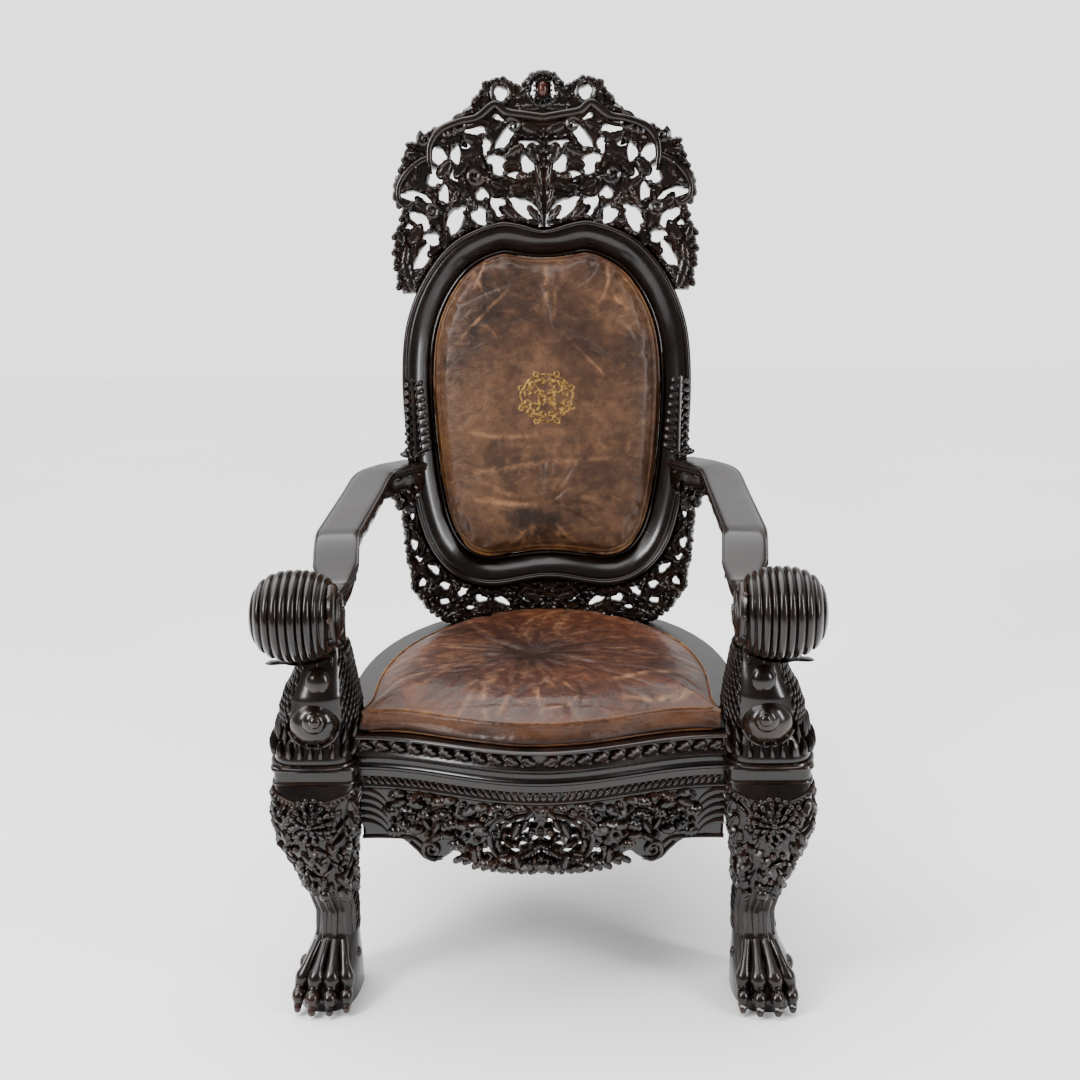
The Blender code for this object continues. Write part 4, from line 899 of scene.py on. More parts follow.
def make_arm(name, side):
    carving = Carving()
    path = arm_path()
    along = np.linspace(0.0, 1.0, len(path))
    last = len(path)
    widths = np.ones(last)
    widths[:4] = np.linspace(0.86, 1.0, 4)
    widths[last - 9:] = np.linspace(1.0, 0.34, 9)
    board = list(ARM_BOARD) + [(-out, down) for out, down in reversed(ARM_BOARD[1:-1])]
    carving.add(loft(arm_rings(path, board, widths)), 1)
    # The carved side below the board, deeper towards the back.
    body_rings = []
    for step, ring in enumerate(arm_rings(path, [(out, 0.0) for out, _ in ARM_BODY], widths)):
        depth = 0.043 + 0.016 * max(0.0, 1 - along[step] / 0.25) + 0.003 * math.sin(step * 0.9)
        levels = (0.013, 0.020, 0.75 * depth, 0.95 * depth, depth)
        body_rings.append([point - np.array((0.0, 0.0, levels[level]))
                           for point, (_, level) in zip(ring, ARM_BODY)])
    carving.add(loft(body_rings))
    for step in range(2, last - 3, 2):
        run = path[step + 1] - path[step - 1]
        run /= np.linalg.norm(run)
        across = np.array((run[1], -run[0], 0.0))
        across /= np.linalg.norm(across)
        for hand in (-1, 1):
            for row, drop in enumerate((0.020, 0.034)):
                depth = drop + 0.012 * max(0.0, 1 - along[step] / 0.25) * row
                reach = (0.0222 if row else 0.0262) * widths[step]
                base = path[step] + across * hand * reach - np.array((0, 0, depth)) - run * 0.010
                way = run + np.array((0, 0, -0.12 if row else 0.10))
                leaf_at(carving, base, way, across * hand + np.array((0, 0, -0.5 * row)), 0.022, 0.015,
                        0.0060, motif=PETAL if (step // 2 + row) % 3 else LEAF)
        if step % 4 == 0:
            drop = 0.0405 + 0.014 * max(0.0, 1 - along[step] / 0.25)
            low = path[step] - np.array((0, 0, drop)) - run * 0.013
            leaf_at(carving, low, run, (0, 0, -1), 0.026, 0.020, 0.005)
    # A leafy bracket under the arm where it meets the hoop, and a flower clasp on top of it.
    for step, (x, z, size) in enumerate(((0.262, 0.690, 0.040), (0.272, 0.672, 0.036), (0.256, 0.662, 0.032),
                                         (0.285, 0.688, 0.030), (0.247, 0.690, 0.030))):
        y = back_plane_y(z, 0.012)
        leaf_at(carving, (x, y - 0.002 - 0.004 * step, z + 0.02), (0.25 - 0.1 * step, -0.25, -1),
                (0.2, -1, 0.1), size, 0.024, 0.010)
        leaf_at(carving, (x, y - 0.030, z + 0.028), (0.1 * step - 0.2, -0.9, -0.5), (-1, 0.1, 0.2), size,
                0.022, 0.009)
    clasp = (BACK_HALF_WIDTH - 0.018, back_plane_y(ARM_REAR_TOP, HOOP_PROUD) - 0.012, ARM_REAR_TOP + 0.006)
    flower_at(carving, clasp, (0.1, -1.0, 0.45), 0.019, 7)
    for step in range(6):
        turn = math.radians(-75 + 30 * step)
        leaf_at(carving, Vector(clasp) + Vector((0.012 * math.sin(turn), 0.004, 0.004)),
                (math.sin(turn), -0.20, 0.35 + 0.75 * math.cos(turn)), (0, -1, 0.3), 0.026, 0.015, 0.009,
                motif=PETAL)
    # The ribbed scroll, turned about a level axis.
    length = SCROLL_OUTER_X - SCROLL_INNER_X
    rings = []
    for share in np.linspace(0.004, 0.996, 110):
        low = max((edge for edge in SCROLL_GROOVES if edge <= share), default=0.0)
        high = min((edge for edge in SCROLL_GROOVES if edge > share), default=1.0)
        within = (share - low) / (high - low)
        groove = GROOVE_DEPTH * (1 - min(1.0, (4 * within * (1 - within)) ** 0.45))
        reach = SCROLL_RADIUS * scroll_radius(share) - groove
        x = SCROLL_INNER_X + length * share
        rings.append([(x, SCROLL_Y + reach * math.cos(t), SCROLL_Z + reach * math.sin(t))
                      for t in np.linspace(0, 2 * math.pi, 56, endpoint=False)])
    carving.add(loft(rings), 2)
    face_x = SCROLL_INNER_X + 0.012
    curl = volute((SCROLL_Y, SCROLL_Z), 0.050, 2.1, 1.9, 1, end_share=0.12, steps=60)
    path_3d = np.stack([np.full(60, face_x) - 0.012 * np.linspace(0, 1, 60), curl[:, 0], curl[:, 1]], axis=1)
    carving.add(bar(path_3d, 0.0062 - 0.003 * np.linspace(0, 1, 60), 8, (-1, 0, 0)))
    for step in range(2, 44, 3):
        point = path_3d[step]
        way = np.array((0.0, point[1] - SCROLL_Y, point[2] - SCROLL_Z))
        ball_at(carving, point + way * 0.10 + np.array((0.002, 0, 0)), (0.0042, 0.0042, 0.0042),
                motif=SMALL_BALL)
    flower_at(carving, (face_x - 0.006, SCROLL_Y, SCROLL_Z), (-1, 0, 0), 0.012, 6)
    # The neck: feathers that rise from the support and lap the scroll.
    neck = []
    for height in np.linspace(SUPPORT_TOP + GAP, SCROLL_Z + 0.015, 8):
        neck.append([(LEG_X - 0.017 + 0.031 * math.cos(t), LEG_Y + 0.012 + 0.041 * math.sin(t), height)
                     for t in np.linspace(0, 2 * math.pi, 20, endpoint=False)])
    carving.add(loft(neck))
    for row in range(6):
        for place in range(7):
            t = math.radians(-155 + 30 * place + 12 * (row % 2))
            base = (LEG_X - 0.017 + 0.030 * math.cos(t), LEG_Y + 0.012 + 0.040 * math.sin(t),
                    SUPPORT_TOP + 0.004 + 0.014 * row)
            leaf_at(carving, base, (0.15, -0.2, 1), (math.cos(t), math.sin(t), 0.1), 0.030, 0.016, 0.009,
                    motif=PETAL if row % 2 else LEAF)
    for place in range(7):
        t = math.radians(145 + 20 * place)
        base = (LEG_X - 0.028, SCROLL_Y + 0.054 * math.cos(t) + 0.030, SCROLL_Z + 0.050 * math.sin(t))
        leaf_at(carving, base, (0.2, -math.cos(t), 0.4), (-1, 0.2, 0.1), 0.032, 0.018, 0.009)
    if side < 0:
        carving = carving.mirrored()
    settle(carving.make(name, [carved_wood, board_wood, hoop_wood]), [name.replace("_rest", "")])


make_arm("arm_rest_left", -1)
make_arm("arm_rest_right", 1)


# Legs and arm supports: turned-and-carved bodies skinned over levels, as in the part

LEG_LEVELS = np.array((
    (0.000, -0.80, 0.74, -1.50, 0.62, 2.6), (0.050, -0.80, 0.76, -1.56, 0.64, 2.6),
    (0.105, -0.80, 0.68, -1.36, 0.62, 2.4), (0.135, -0.79, 0.60, -1.18, 0.62, 2.4),
    (0.185, -0.77, 0.44, -0.86, 0.60, 2.2), (0.255, -0.76, 0.31, -0.58, 0.56, 2.2),
    (0.345, -0.76, 0.27, -0.50, 0.56, 2.2), (0.430, -0.73, 0.42, -0.70, 0.58, 2.2),
    (0.545, -0.72, 0.64, -0.98, 0.66, 2.4), (0.670, -0.80, 0.98, -1.30, 0.80, 2.6),
    (0.760, -0.90, 1.08, -1.36, 0.90, 3.0), (0.845, -0.96, 1.06, -1.28, 0.98, 3.8),
    (0.900, -1.00, 1.04, -1.12, 1.00, 6.0), (0.935, -1.00, 1.00, -1.02, 1.00, 9.0),
    (1.000, -1.00, 1.00, -1.00, 1.00, 9.0),
))
SUPPORT_LEVELS = np.array((
    (0.00, -0.98, 1.02, -1.08, 0.98, 3.4), (0.06, -0.98, 1.04, -1.10, 0.98, 3.0),
    (0.17, -0.98, 0.98, -1.02, 0.98, 2.8), (0.26, -0.98, 0.86, -0.92, 0.95, 2.4),
    (0.34, -1.04, 0.86, -0.96, 0.97, 2.2), (0.46, -1.06, 0.84, -1.02, 0.97, 2.2),
    (0.60, -1.01, 0.71, -0.98, 0.93, 2.2), (0.74, -0.94, 0.49, -0.82, 0.89, 2.2),
    (0.88, -0.86, 0.32, -0.62, 0.87, 2.4), (1.00, -0.77, 0.24, -0.50, 0.89, 2.6),
))


class Turning:
    """A body skinned over levels; spot() gives a place on its face and the way out there."""

    def __init__(self, levels, bottom, height):
        self.levels, self.bottom, self.height = levels, bottom, height

    def level(self, share):
        return [np.interp(share, self.levels[:, 0], column) for column in self.levels.T[1:]]

    def point(self, share, turn):
        inner, outer, front, rear, power = self.level(share)
        x, y = math.cos(turn), math.sin(turn)
        reach = (abs(x) ** power + abs(y) ** power) ** (-1 / power)
        centre, half = (inner + outer) / 2, (outer - inner) / 2
        return np.array((LEG_X + LEG_HALF_WIDTH * (centre + half * x * reach),
                         LEG_Y + LEG_HALF_DEPTH * (rear if y > 0 else -front) * y * reach,
                         self.bottom + self.height * share))

    def spot(self, share, turn):
        here = self.point(share, turn)
        aside = self.point(share, turn + 0.03) - here
        rise = self.point(min(share + 0.01, 1.0), turn) - self.point(max(share - 0.01, 0.0), turn)
        out = np.cross(aside, rise)
        return here, out / np.linalg.norm(out), rise / np.linalg.norm(rise), aside / np.linalg.norm(aside)

    def body(self, rows, around):
        return loft([[self.point(share, turn) for turn in np.linspace(0, 2 * math.pi, around, endpoint=False)]
                     for share in np.linspace(0.0, 1.0, rows)])

    def band(self, share, grow, size):
        """A round moulding that runs level round the body."""
        ring = [self.point(share, turn) for turn in np.linspace(0, 2 * math.pi, 72, endpoint=False)]
        middle = np.mean(ring, axis=0)
        return bar([middle + (point - middle) * grow for point in ring], size, 8, (0, 0, 1), closed=True)


def make_toe(carving, root, knuckle, tip, size):
    """One toe: a tendon, two knuckles and a hooked claw."""
    root, knuckle, tip = (np.array(p, float) for p in (root, knuckle, tip))
    middle = (knuckle + tip) / 2 + np.array((0, -0.006, 0.006))
    path = smooth_path([root, (root + knuckle) / 2 + np.array((0, -0.004, 0.004)), knuckle, middle, tip], 30)
    share = np.linspace(0, 1, 30)
    knuckles = 0.45 * np.exp(-((share - 0.52) / 0.13) ** 2) + 0.26 * np.exp(-((share - 0.80) / 0.09) ** 2)
    reach = size * (0.55 + knuckles)
    reach[-4:] *= (0.85, 0.66, 0.45, 0.2)
    carving.add(bar(path, reach, 14, (0, -0.5, 1)))
    carving.add(bar(smooth_path([tip + np.array((0, 0.004, 0.009)), tip + np.array((0, -0.005, 0.005)),
                                 tip + np.array((0, -0.0040, 0.000))], 8),
                    size * np.linspace(0.60, 0.38, 8), 8, (0, -0.5, 1)))


def make_leg(name, side):
    leg = Turning(LEG_LEVELS, 0.0, LEG_TOP)
    carving = Carving()
    carving.add(leg.body(84, 72))
    # Lion's paw.
    for x, reach, size in ((-0.60, 0.92, 0.0130), (-0.22, 1.06, 0.0145), (0.20, 1.06, 0.0145),
                           (0.56, 0.90, 0.0130)):
        root = (LEG_X + (0.55 * x - 0.12) * LEG_HALF_WIDTH, LEG_Y - 0.62 * LEG_HALF_DEPTH, 0.092)
        knuckle = (LEG_X + x * LEG_HALF_WIDTH, LEG_Y - (0.55 + reach) * LEG_HALF_DEPTH + 0.012, 0.036)
        tip = (LEG_X + 1.04 * x * LEG_HALF_WIDTH, LEG_Y - (0.86 + reach) * LEG_HALF_DEPTH + 0.010, 0.009)
        make_toe(carving, root, knuckle, tip, size)
    ball_at(carving, (LEG_X + 0.60 * LEG_HALF_WIDTH, LEG_Y - 0.2 * LEG_HALF_DEPTH, 0.040),
            (0.011, 0.018, 0.013))
    ball_at(carving, (LEG_X - 0.74 * LEG_HALF_WIDTH, LEG_Y - 0.25 * LEG_HALF_DEPTH, 0.060),
            (0.006, 0.009, 0.010))
    # Ridges down the shank, fringed with hair on both sides.
    for turn, size in ((-90, 0.0060), (-62, 0.0045), (-118, 0.0045), (-35, 0.0045), (-145, 0.0045)):
        path = [leg.point(share, math.radians(turn)) for share in np.linspace(0.24, 0.46, 14)]
        carving.add(bar(path, size * np.sin(np.linspace(0.35, 2.8, 14)) ** 0.5, 8, (0, -1, 0), 0.8))
    for row in range(8):
        for turn in (-178, -160, 8, 28, 60, 120):
            here, out, rise, aside = leg.spot(0.22 + 0.032 * row, math.radians(turn + 4 * (row % 2)))
            leaf_at(carving, here - out * 0.001 + rise * 0.02,
                    -rise + 0.45 * aside * (1 if turn < -90 else -1), out, 0.026, 0.009, 0.0055, motif=PETAL)
    # Foliage over the knee: rows of leaves that hang and overlap.
    for row in range(13):
        share = 0.848 - 0.033 * row
        count = 15 if row < 7 else 12
        for place in range(count):
            turn = math.radians(-196 + 212 * (place + 0.5 * (row % 2)) / (count - 1))
            if row < 5 and abs(math.degrees(turn) + 90) < 24:
                continue
            here, out, rise, aside = leg.spot(share, turn)
            lean = (0.8 if (place + row) % 2 else -0.8) * (0.5 + 0.5 * chance.random())
            size = chance.uniform(0.025, 0.032)
            if chance.random() < 0.16:
                ball_at(carving, here + out * 0.003, (0.0055, 0.0055, 0.0055), motif=SMALL_BALL)
            else:
                leaf_at(carving, here + out * 0.0002 + rise * 0.010, -rise + lean * aside, out, size,
                        0.60 * size, 0.0095, motif=PETAL if chance.random() < 0.62 else LEAF)
    for row in range(5):
        for place in range(5):
            here, out, rise, aside = leg.spot(0.60 + 0.052 * row, math.radians(40 + 25 * place))
            leaf_at(carving, here + rise * 0.008, -rise, out, 0.030, 0.020, 0.0050)
    # The ruffled rosette on the knee, the bud below it, and the moulded block above.
    front = leg.point(0.80, math.radians(-90))
    centre = Vector((LEG_X + 0.002, front[1] - 0.006, 0.317))
    ball_at(carving, centre + Vector((0, 0.008, 0)), (0.0330, 0.0080, 0.0330))
    for count, reach, forward, size in ((13, 0.0250, 0.003, 0.0170), (10, 0.0160, 0.009, 0.0150),
                                        (6, 0.0078, 0.014, 0.0115)):
        for step in range(count):
            turn = 2 * math.pi * (step + 0.5 * (count % 2)) / count
            way = Vector((math.cos(turn), -0.35, math.sin(turn)))
            leaf_at(carving, centre + Vector((reach * way.x, -forward, reach * way.z)), way, (0, -1, 0), size,
                    0.85 * size, 0.0085, motif=PETAL)
    ball_at(carving, centre + Vector((0, -0.0165, 0)), (0.0050, 0.0050, 0.0050))
    for step in range(18):
        turn = 2 * math.pi * step / 18
        ball_at(carving, centre + Vector((0.0350 * math.cos(turn), 0.001, 0.0350 * math.sin(turn))),
                (0.0048, 0.0042, 0.0048), motif=SMALL_BALL)
    bud = leg.point(0.455, math.radians(-95))
    ball_at(carving, bud + np.array((0.004, -0.008, 0.0)), (0.0105, 0.0100, 0.0105))
    for step in range(5):
        turn = math.radians(-80 + 40 * step)
        leaf_at(carving, bud + np.array((0.004 + 0.006 * math.sin(turn), -0.006, 0.008)),
                (math.sin(turn), -0.1, math.cos(turn)), (0, -1, 0), 0.017, 0.011, 0.007, motif=PETAL)
    rope = []
    for t in np.linspace(-1, 1, 25):
        share = 0.905 - 0.055 * (1 - t * t)
        here, out, _, _ = leg.spot(share, math.radians(-90 + 52 * t))
        rope.append(here + out * 0.0015)
    for point in rope:
        ball_at(carving, point, (0.0042, 0.0046, 0.0034), motif=SMALL_BALL)
    carving.add(bar(np.array(rope) + np.array((0, 0.001, 0.0042)), 0.0022, 6))
    for share, grow, size in ((0.990, 1.012, 0.0042), (0.935, 1.008, 0.0030)):
        carving.add(leg.band(share, grow, size))
    if side < 0:
        carving = carving.mirrored()
    settle(carving.make(name, [carved_wood]), [name.replace("carved", "front")])


def make_support(name, side):
    support = Turning(SUPPORT_LEVELS, SUPPORT_BOTTOM, SUPPORT_HEIGHT)
    carving = Carving()
    carving.add(support.body(60, 64), 1)
    # The leaf collar: two rows of fluted lobes that flare out over the leg.
    for row, (share, length, count) in enumerate(((0.265, 0.044, 22), (0.150, 0.030, 26))):
        for place in range(count):
            turn = 2 * math.pi * (place + 0.5 * row) / count
            here, out, rise, aside = support.spot(share, turn)
            leaf_at(carving, here + out * 0.002, -rise + 0.22 * out, out, length, 0.0150, 0.0125, motif=PETAL)
    carving.add(support.band(0.012, 1.04, 0.0034))
    # The swelling at the foot of the front, with its boss and bud, and a smaller one above.
    foot = support.point(0.40, math.radians(-92))
    ball_at(carving, foot + np.array((0.004, 0.010, -0.004)), (0.0390, 0.0290, 0.0350), finish=1)
    ring = [foot + np.array((0.004 + 0.038 * math.cos(t), 0.002 + 0.004 * math.sin(t),
                             -0.004 + 0.0340 * math.sin(t)))
            for t in np.linspace(math.radians(195), math.radians(345), 24)]
    carving.add(bar(ring, 0.0034, 8))
    ball_at(carving, foot + np.array((0.000, -0.014, 0.006)), (0.0190, 0.0120, 0.0185), finish=1)
    ball_at(carving, foot + np.array((-0.003, -0.023, 0.010)), (0.0100, 0.0080, 0.0100), finish=1)
    brow = support.point(0.74, math.radians(-90))
    ball_at(carving, brow + np.array((0.002, 0.010, -0.004)), (0.022, 0.018, 0.025), finish=1)
    # Scales on the flanks.
    for row in range(12):
        share = 0.92 - 0.054 * row
        for turn in list(range(-172, -130, 9)) + list(range(-46, 2, 9)) + list(range(10, 176, 11)):
            here, out, rise, aside = support.spot(share, math.radians(turn + (4.5 if row % 2 else 0)))
            leaf_at(carving, here + rise * 0.004 - out * 0.0010, -rise, out, 0.0165, 0.0120, 0.0066,
                    motif=PETAL)
    # Split leaves that spread under the scroll like an open beak.
    for height, length, lean, across in ((-0.014, 0.108, -0.11, 0.95), (-0.018, 0.080, -0.22, 0.6),
                                         (-0.005, 0.080, -0.05, -0.05), (-0.012, 0.060, -0.2, 0.1)):
        base = (LEG_X - 0.020, LEG_Y - 0.012, SUPPORT_TOP + height)
        leaf_at(carving, base, (across, -1, lean), (0, 0.1, 1), length, 0.044, 0.0065, motif=LONG_LEAF)
    for place in range(12):
        t = math.radians(-180 + 33 * place)
        here, out, rise, aside = support.spot(0.90, t)
        leaf_at(carving, here - out * 0.002, rise + 0.15 * out, out, 0.026, 0.017, 0.008, motif=PETAL)
    if side < 0:
        carving = carving.mirrored()
    settle(carving.make(name, [carved_wood, hoop_wood]), [name.replace("carved_", "")])


for side_name, side in (("left", -1), ("right", 1)):
    make_leg("carved_leg_" + side_name, side)
    make_support("carved_arm_support_" + side_name, side)


# Front rail: a bowed ledge, a row of curled leaves, a deep cove and a roped band

def bow(across):
    share = np.minimum(1.0, np.abs(across) / RAIL_HALF_LENGTH)
    return RAIL_END_FRONT - RAIL_BOW * 0.5 * (1 + np.cos(math.pi * share))


# The rail's section in millimetres: behind its face line, and below its top.
RAIL_SECTION = (
    (44, 0), (2, 0), (-1.5, 0.8), (-3.2, 2.6), (-3.2, 4.6), (-1.5, 6.2), (2.5, 7.4), (3.5, 10), (2.8, 20),
    (0.5, 26.0), (-1.2, 28.0), (-2.2, 30.6), (-1.0, 33.2), (1.5, 34.6), (5.0, 35.4), (9.5, 38.0),
    (12.2, 42.5),
    (12.6, 47.5), (11.0, 52.0), (9.0, 54.0), (7.6, 54.6), (7.6, 56.2), (9.2, 56.8), (9.2, 58.2), (8.0, 58.8),
    (8.0, 68.5), (9.5, 70.0), (9.5, 83.0), (8.5, 84.5), (8.5, 88), (44, 88),
)


def make_rail():
    carving = Carving()
    rings = []
    for across in np.linspace(-RAIL_HALF_LENGTH, RAIL_HALF_LENGTH, 121):
        rings.append([(across, bow(across) + behind / 1000, DECK_TOP - below / 1000)
                      for behind, below in RAIL_SECTION])
    carving.add(loft(rings))

    def on_face(across, behind, below):
        return np.array((across, bow(across) + behind, DECK_TOP - below))

    pitch = 0.0250
    for step in range(11):
        across = pitch * (step + 0.55)
        base = on_face(across - 0.011, 0.004, 0.0215)
        ahead = on_face(across + 0.014, 0.001, 0.0120) - base
        leaf_at(carving, base, ahead, (0, -1, 0.15), 0.026, 0.017, 0.0105, both=True)
        curl = volute((across + 0.004, 0.0145), 0.0068, 1.1, 2.4, -1, end_share=0.25, steps=14)
        path = [on_face(x, -0.0022, z) for x, z in curl]
        carving.add_both(bar(path, 0.0024 - 0.0009 * np.linspace(0, 1, 14), 6))
        ball_at(carving, on_face(across + 0.011, 0.001, 0.0225), (0.0034, 0.0036, 0.0034), both=True,
                motif=SMALL_BALL)
    # The roped band fans out from four beads at the middle.
    for step in range(26):
        across = 0.0105 * (step + 0.5)
        if across > RAIL_HALF_LENGTH - 0.004:
            continue
        middle = on_face(across, 0.0088, 0.0765)
        lean = math.radians(20 + min(28, 3.0 * step))
        if step < 2:
            ball_at(carving, middle, (0.0052, 0.0048, 0.0062), both=True)
        else:
            shape = moved(SMALL_BALL, facing(middle, (math.sin(lean), 0.0, math.cos(lean)), (0, -1, 0),
                                             (0.0092, 0.0040, 0.0046)))
            carving.add_both(shape)
    settle(carving.make("rail_moulded", [carved_wood]), ["front_rail"])


# Apron: an openwork cartouche between scrolls, foliage beside it and feathered ends

APRON_EDGE = (
    (1.0, 0.262), (0.94, 0.2630), (0.87, 0.2655), (0.80, 0.2655), (0.745, 0.259), (0.69, 0.247),
    (0.63, 0.2385),
    (0.565, 0.2385), (0.515, 0.248), (0.475, 0.2575), (0.435, 0.252), (0.40, 0.244), (0.35, 0.2385),
    (0.25, 0.237), (0.13, 0.2355), (0.0, 0.2340),
)
APRON_GAPS = (
    (0.053, 0.312, 0.021, 0.013, 60), (0.033, 0.320, 0.020, 0.010, 150), (0.013, 0.319, 0.013, 0.009, 80),
    (0.044, 0.290, 0.018, 0.011, 20), (0.024, 0.303, 0.015, 0.010, 120), (0.009, 0.291, 0.012, 0.012, 30),
    (0.026, 0.281, 0.017, 0.010, 170), (0.041, 0.269, 0.018, 0.011, 10), (0.020, 0.262, 0.015, 0.009, 150),
    (0.006, 0.268, 0.010, 0.008, 90), (0.058, 0.278, 0.010, 0.008, 90), (0.083, 0.264, 0.017, 0.015, 110),
    (0.028, 0.292, 0.008, 0.007, 0),
)


def make_apron():
    lower = smooth_path(np.array(APRON_EDGE) * (RAIL_HALF_LENGTH, 1.0), 110)
    nibble = np.abs(np.sin(lower[:, 0] / 0.0085)) * 0.0030 * np.clip((0.14 - lower[:, 0]) / 0.03, 0, 1)
    lower[:, 1] += nibble
    top = np.array([(RAIL_HALF_LENGTH * t, APRON_TOP) for t in np.linspace(0, 1, 40)])
    right = np.vstack([top, lower[1:]])
    outline = np.vstack([right, (right[1:-1] * (-1.0, 1.0))[::-1]])[::-1]

    def place(flat, depth=0.0):
        flat = np.atleast_2d(np.asarray(flat, float))
        return np.stack([flat[:, 0], bow(flat[:, 0]) + APRON_SETBACK + depth, flat[:, 1]], axis=1)

    gaps = both_sides([sawn_gap(*gap) for gap in APRON_GAPS])
    carving = Carving()
    carving.add(ribbed_board(outline, gaps, 0.004, 0.018, 0.005, place, spacing=0.0042, soft=0.005))

    def between(points):
        frame_reach = np.hypot(points[:, 0] / 0.078, (points[:, 1] - 0.290) / 0.050)
        drop = (points[:, 0] > 0.135) & (points[:, 1] < 0.277)
        clear = (points[:, 0] < 0.232) & (points[:, 1] < APRON_TOP - 0.004)
        return clear & (np.abs(frame_reach - 1.0) > 0.09) & ~drop

    foliage(carving, outline, gaps, place, (0, -1, 0), np.array((0.0, 0.24)), (0.014, 0.030), 0.0120, -0.0015,
            keep=between)
    # Double C-scrolls round the cartouche, and the volutes that form the two drops.
    for reach_x, reach_z, size, start, stop in ((0.066, 0.044, 0.0042, -72, 84),
                                                (0.078, 0.052, 0.0048, -50, 78),
                                                (0.091, 0.050, 0.0036, 5, 72)):
        arc = [(reach_x * math.cos(t), 0.290 + reach_z * math.sin(t))
               for t in np.linspace(math.radians(start), math.radians(stop), 40)]
        carving.add_both(bar(place(arc, -0.003), size * np.sin(np.linspace(0.25, 2.9, 40)) ** 0.4, 8))
    for centre, size, turns, start, hand, thick in (((0.170, 0.2565), 0.0165, 1.6, -1.9, 1, 0.0046),
                                                    ((0.083, 0.262), 0.0135, 1.0, 0.4, -1, 0.0034),
                                                    ((0.062, 0.330), 0.0110, 1.2, 2.6, 1, 0.0034),
                                                    ((0.100, 0.330), 0.0105, 1.2, 1.0, -1, 0.0030),
                                                    ((0.150, 0.315), 0.0130, 1.3, 3.6, -1, 0.0032),
                                                    ((0.205, 0.300), 0.0120, 1.3, 0.5, 1, 0.0030)):
        curl = volute(centre, size, turns, start, hand)
        carving.add_both(bar(place(curl, -0.0035), thick * np.linspace(1, 0.5, 26), 8))
    sweep = smooth_path([(0.186, 0.262), (0.200, 0.270), (0.222, 0.2695), (0.250, 0.268), (0.280, 0.2665)],
                        30)
    carving.add_both(bar(place(sweep, -0.001), 0.0036, 8))
    drop = smooth_path([(0.155, 0.244), (0.168, 0.2395), (0.182, 0.242), (0.192, 0.252), (0.205, 0.2625)], 24)
    carving.add_both(bar(place(drop, -0.001), 0.0036, 8))
    for row in range(5):
        top, end = 0.2925 + 0.0128 * row, RAIL_HALF_LENGTH
        lobe = smooth_path([(end - 0.002, top), (end - 0.016, top - 0.0005), (end - 0.031, top - 0.007),
                            (end - 0.042, top - 0.018)], 16)
        carving.add_both(bar(place(lobe, 0.0005), 0.0066 * np.linspace(1, 0.35, 16), 8))
    flower_at(carving, place([(0.0, 0.300)], -0.004)[0], (0, -1, 0), 0.010, 6)
    for centre, size in (((0.030, 0.273), 0.0075), ((0.128, 0.290), 0.0120), ((0.185, 0.288), 0.0100)):
        flower_at(carving, place([centre], -0.003)[0], (0, -1, 0), size, 6, both=True)
    for step in range(9):
        across = 0.008 + 0.0145 * step
        base = place([(across, 0.2450 if across < 0.1 else 0.250)], -0.002)[0]
        leaf_at(carving, base + np.array((-0.006, 0, 0.002)), (1.0, 0, -0.45), (0, -1, 0), 0.0200, 0.0130,
                0.0070, both=True)
    settle(carving.make("apron_openwork", [carved_wood]), ["front_apron"])


make_rail()
make_apron()


# Plain pieces keep the part's own solids, with their corners eased

def ease_node(name, finish, width):
    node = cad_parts[name]
    node.data.materials.clear()
    node.data.materials.append(finish)
    weld = node.modifiers.new("weld", "WELD")
    weld.merge_threshold = 0.00001
    bevel = node.modifiers.new("eased_corners", "BEVEL")
    bevel.width = width
    bevel.segments = 3
    bevel.limit_method = "ANGLE"
    bevel.angle_limit = math.radians(40)


ease_node("seat_deck", board_wood, 0.0035)
for node_name in ("side_rail_left", "side_rail_right", "back_rail", "rear_leg_left", "rear_leg_right"):
    ease_node(node_name, hoop_wood, 0.0025)
ease_node("back_board", hoop_wood, 0.0010)


# Leather: old brown hide over a stuffed pad

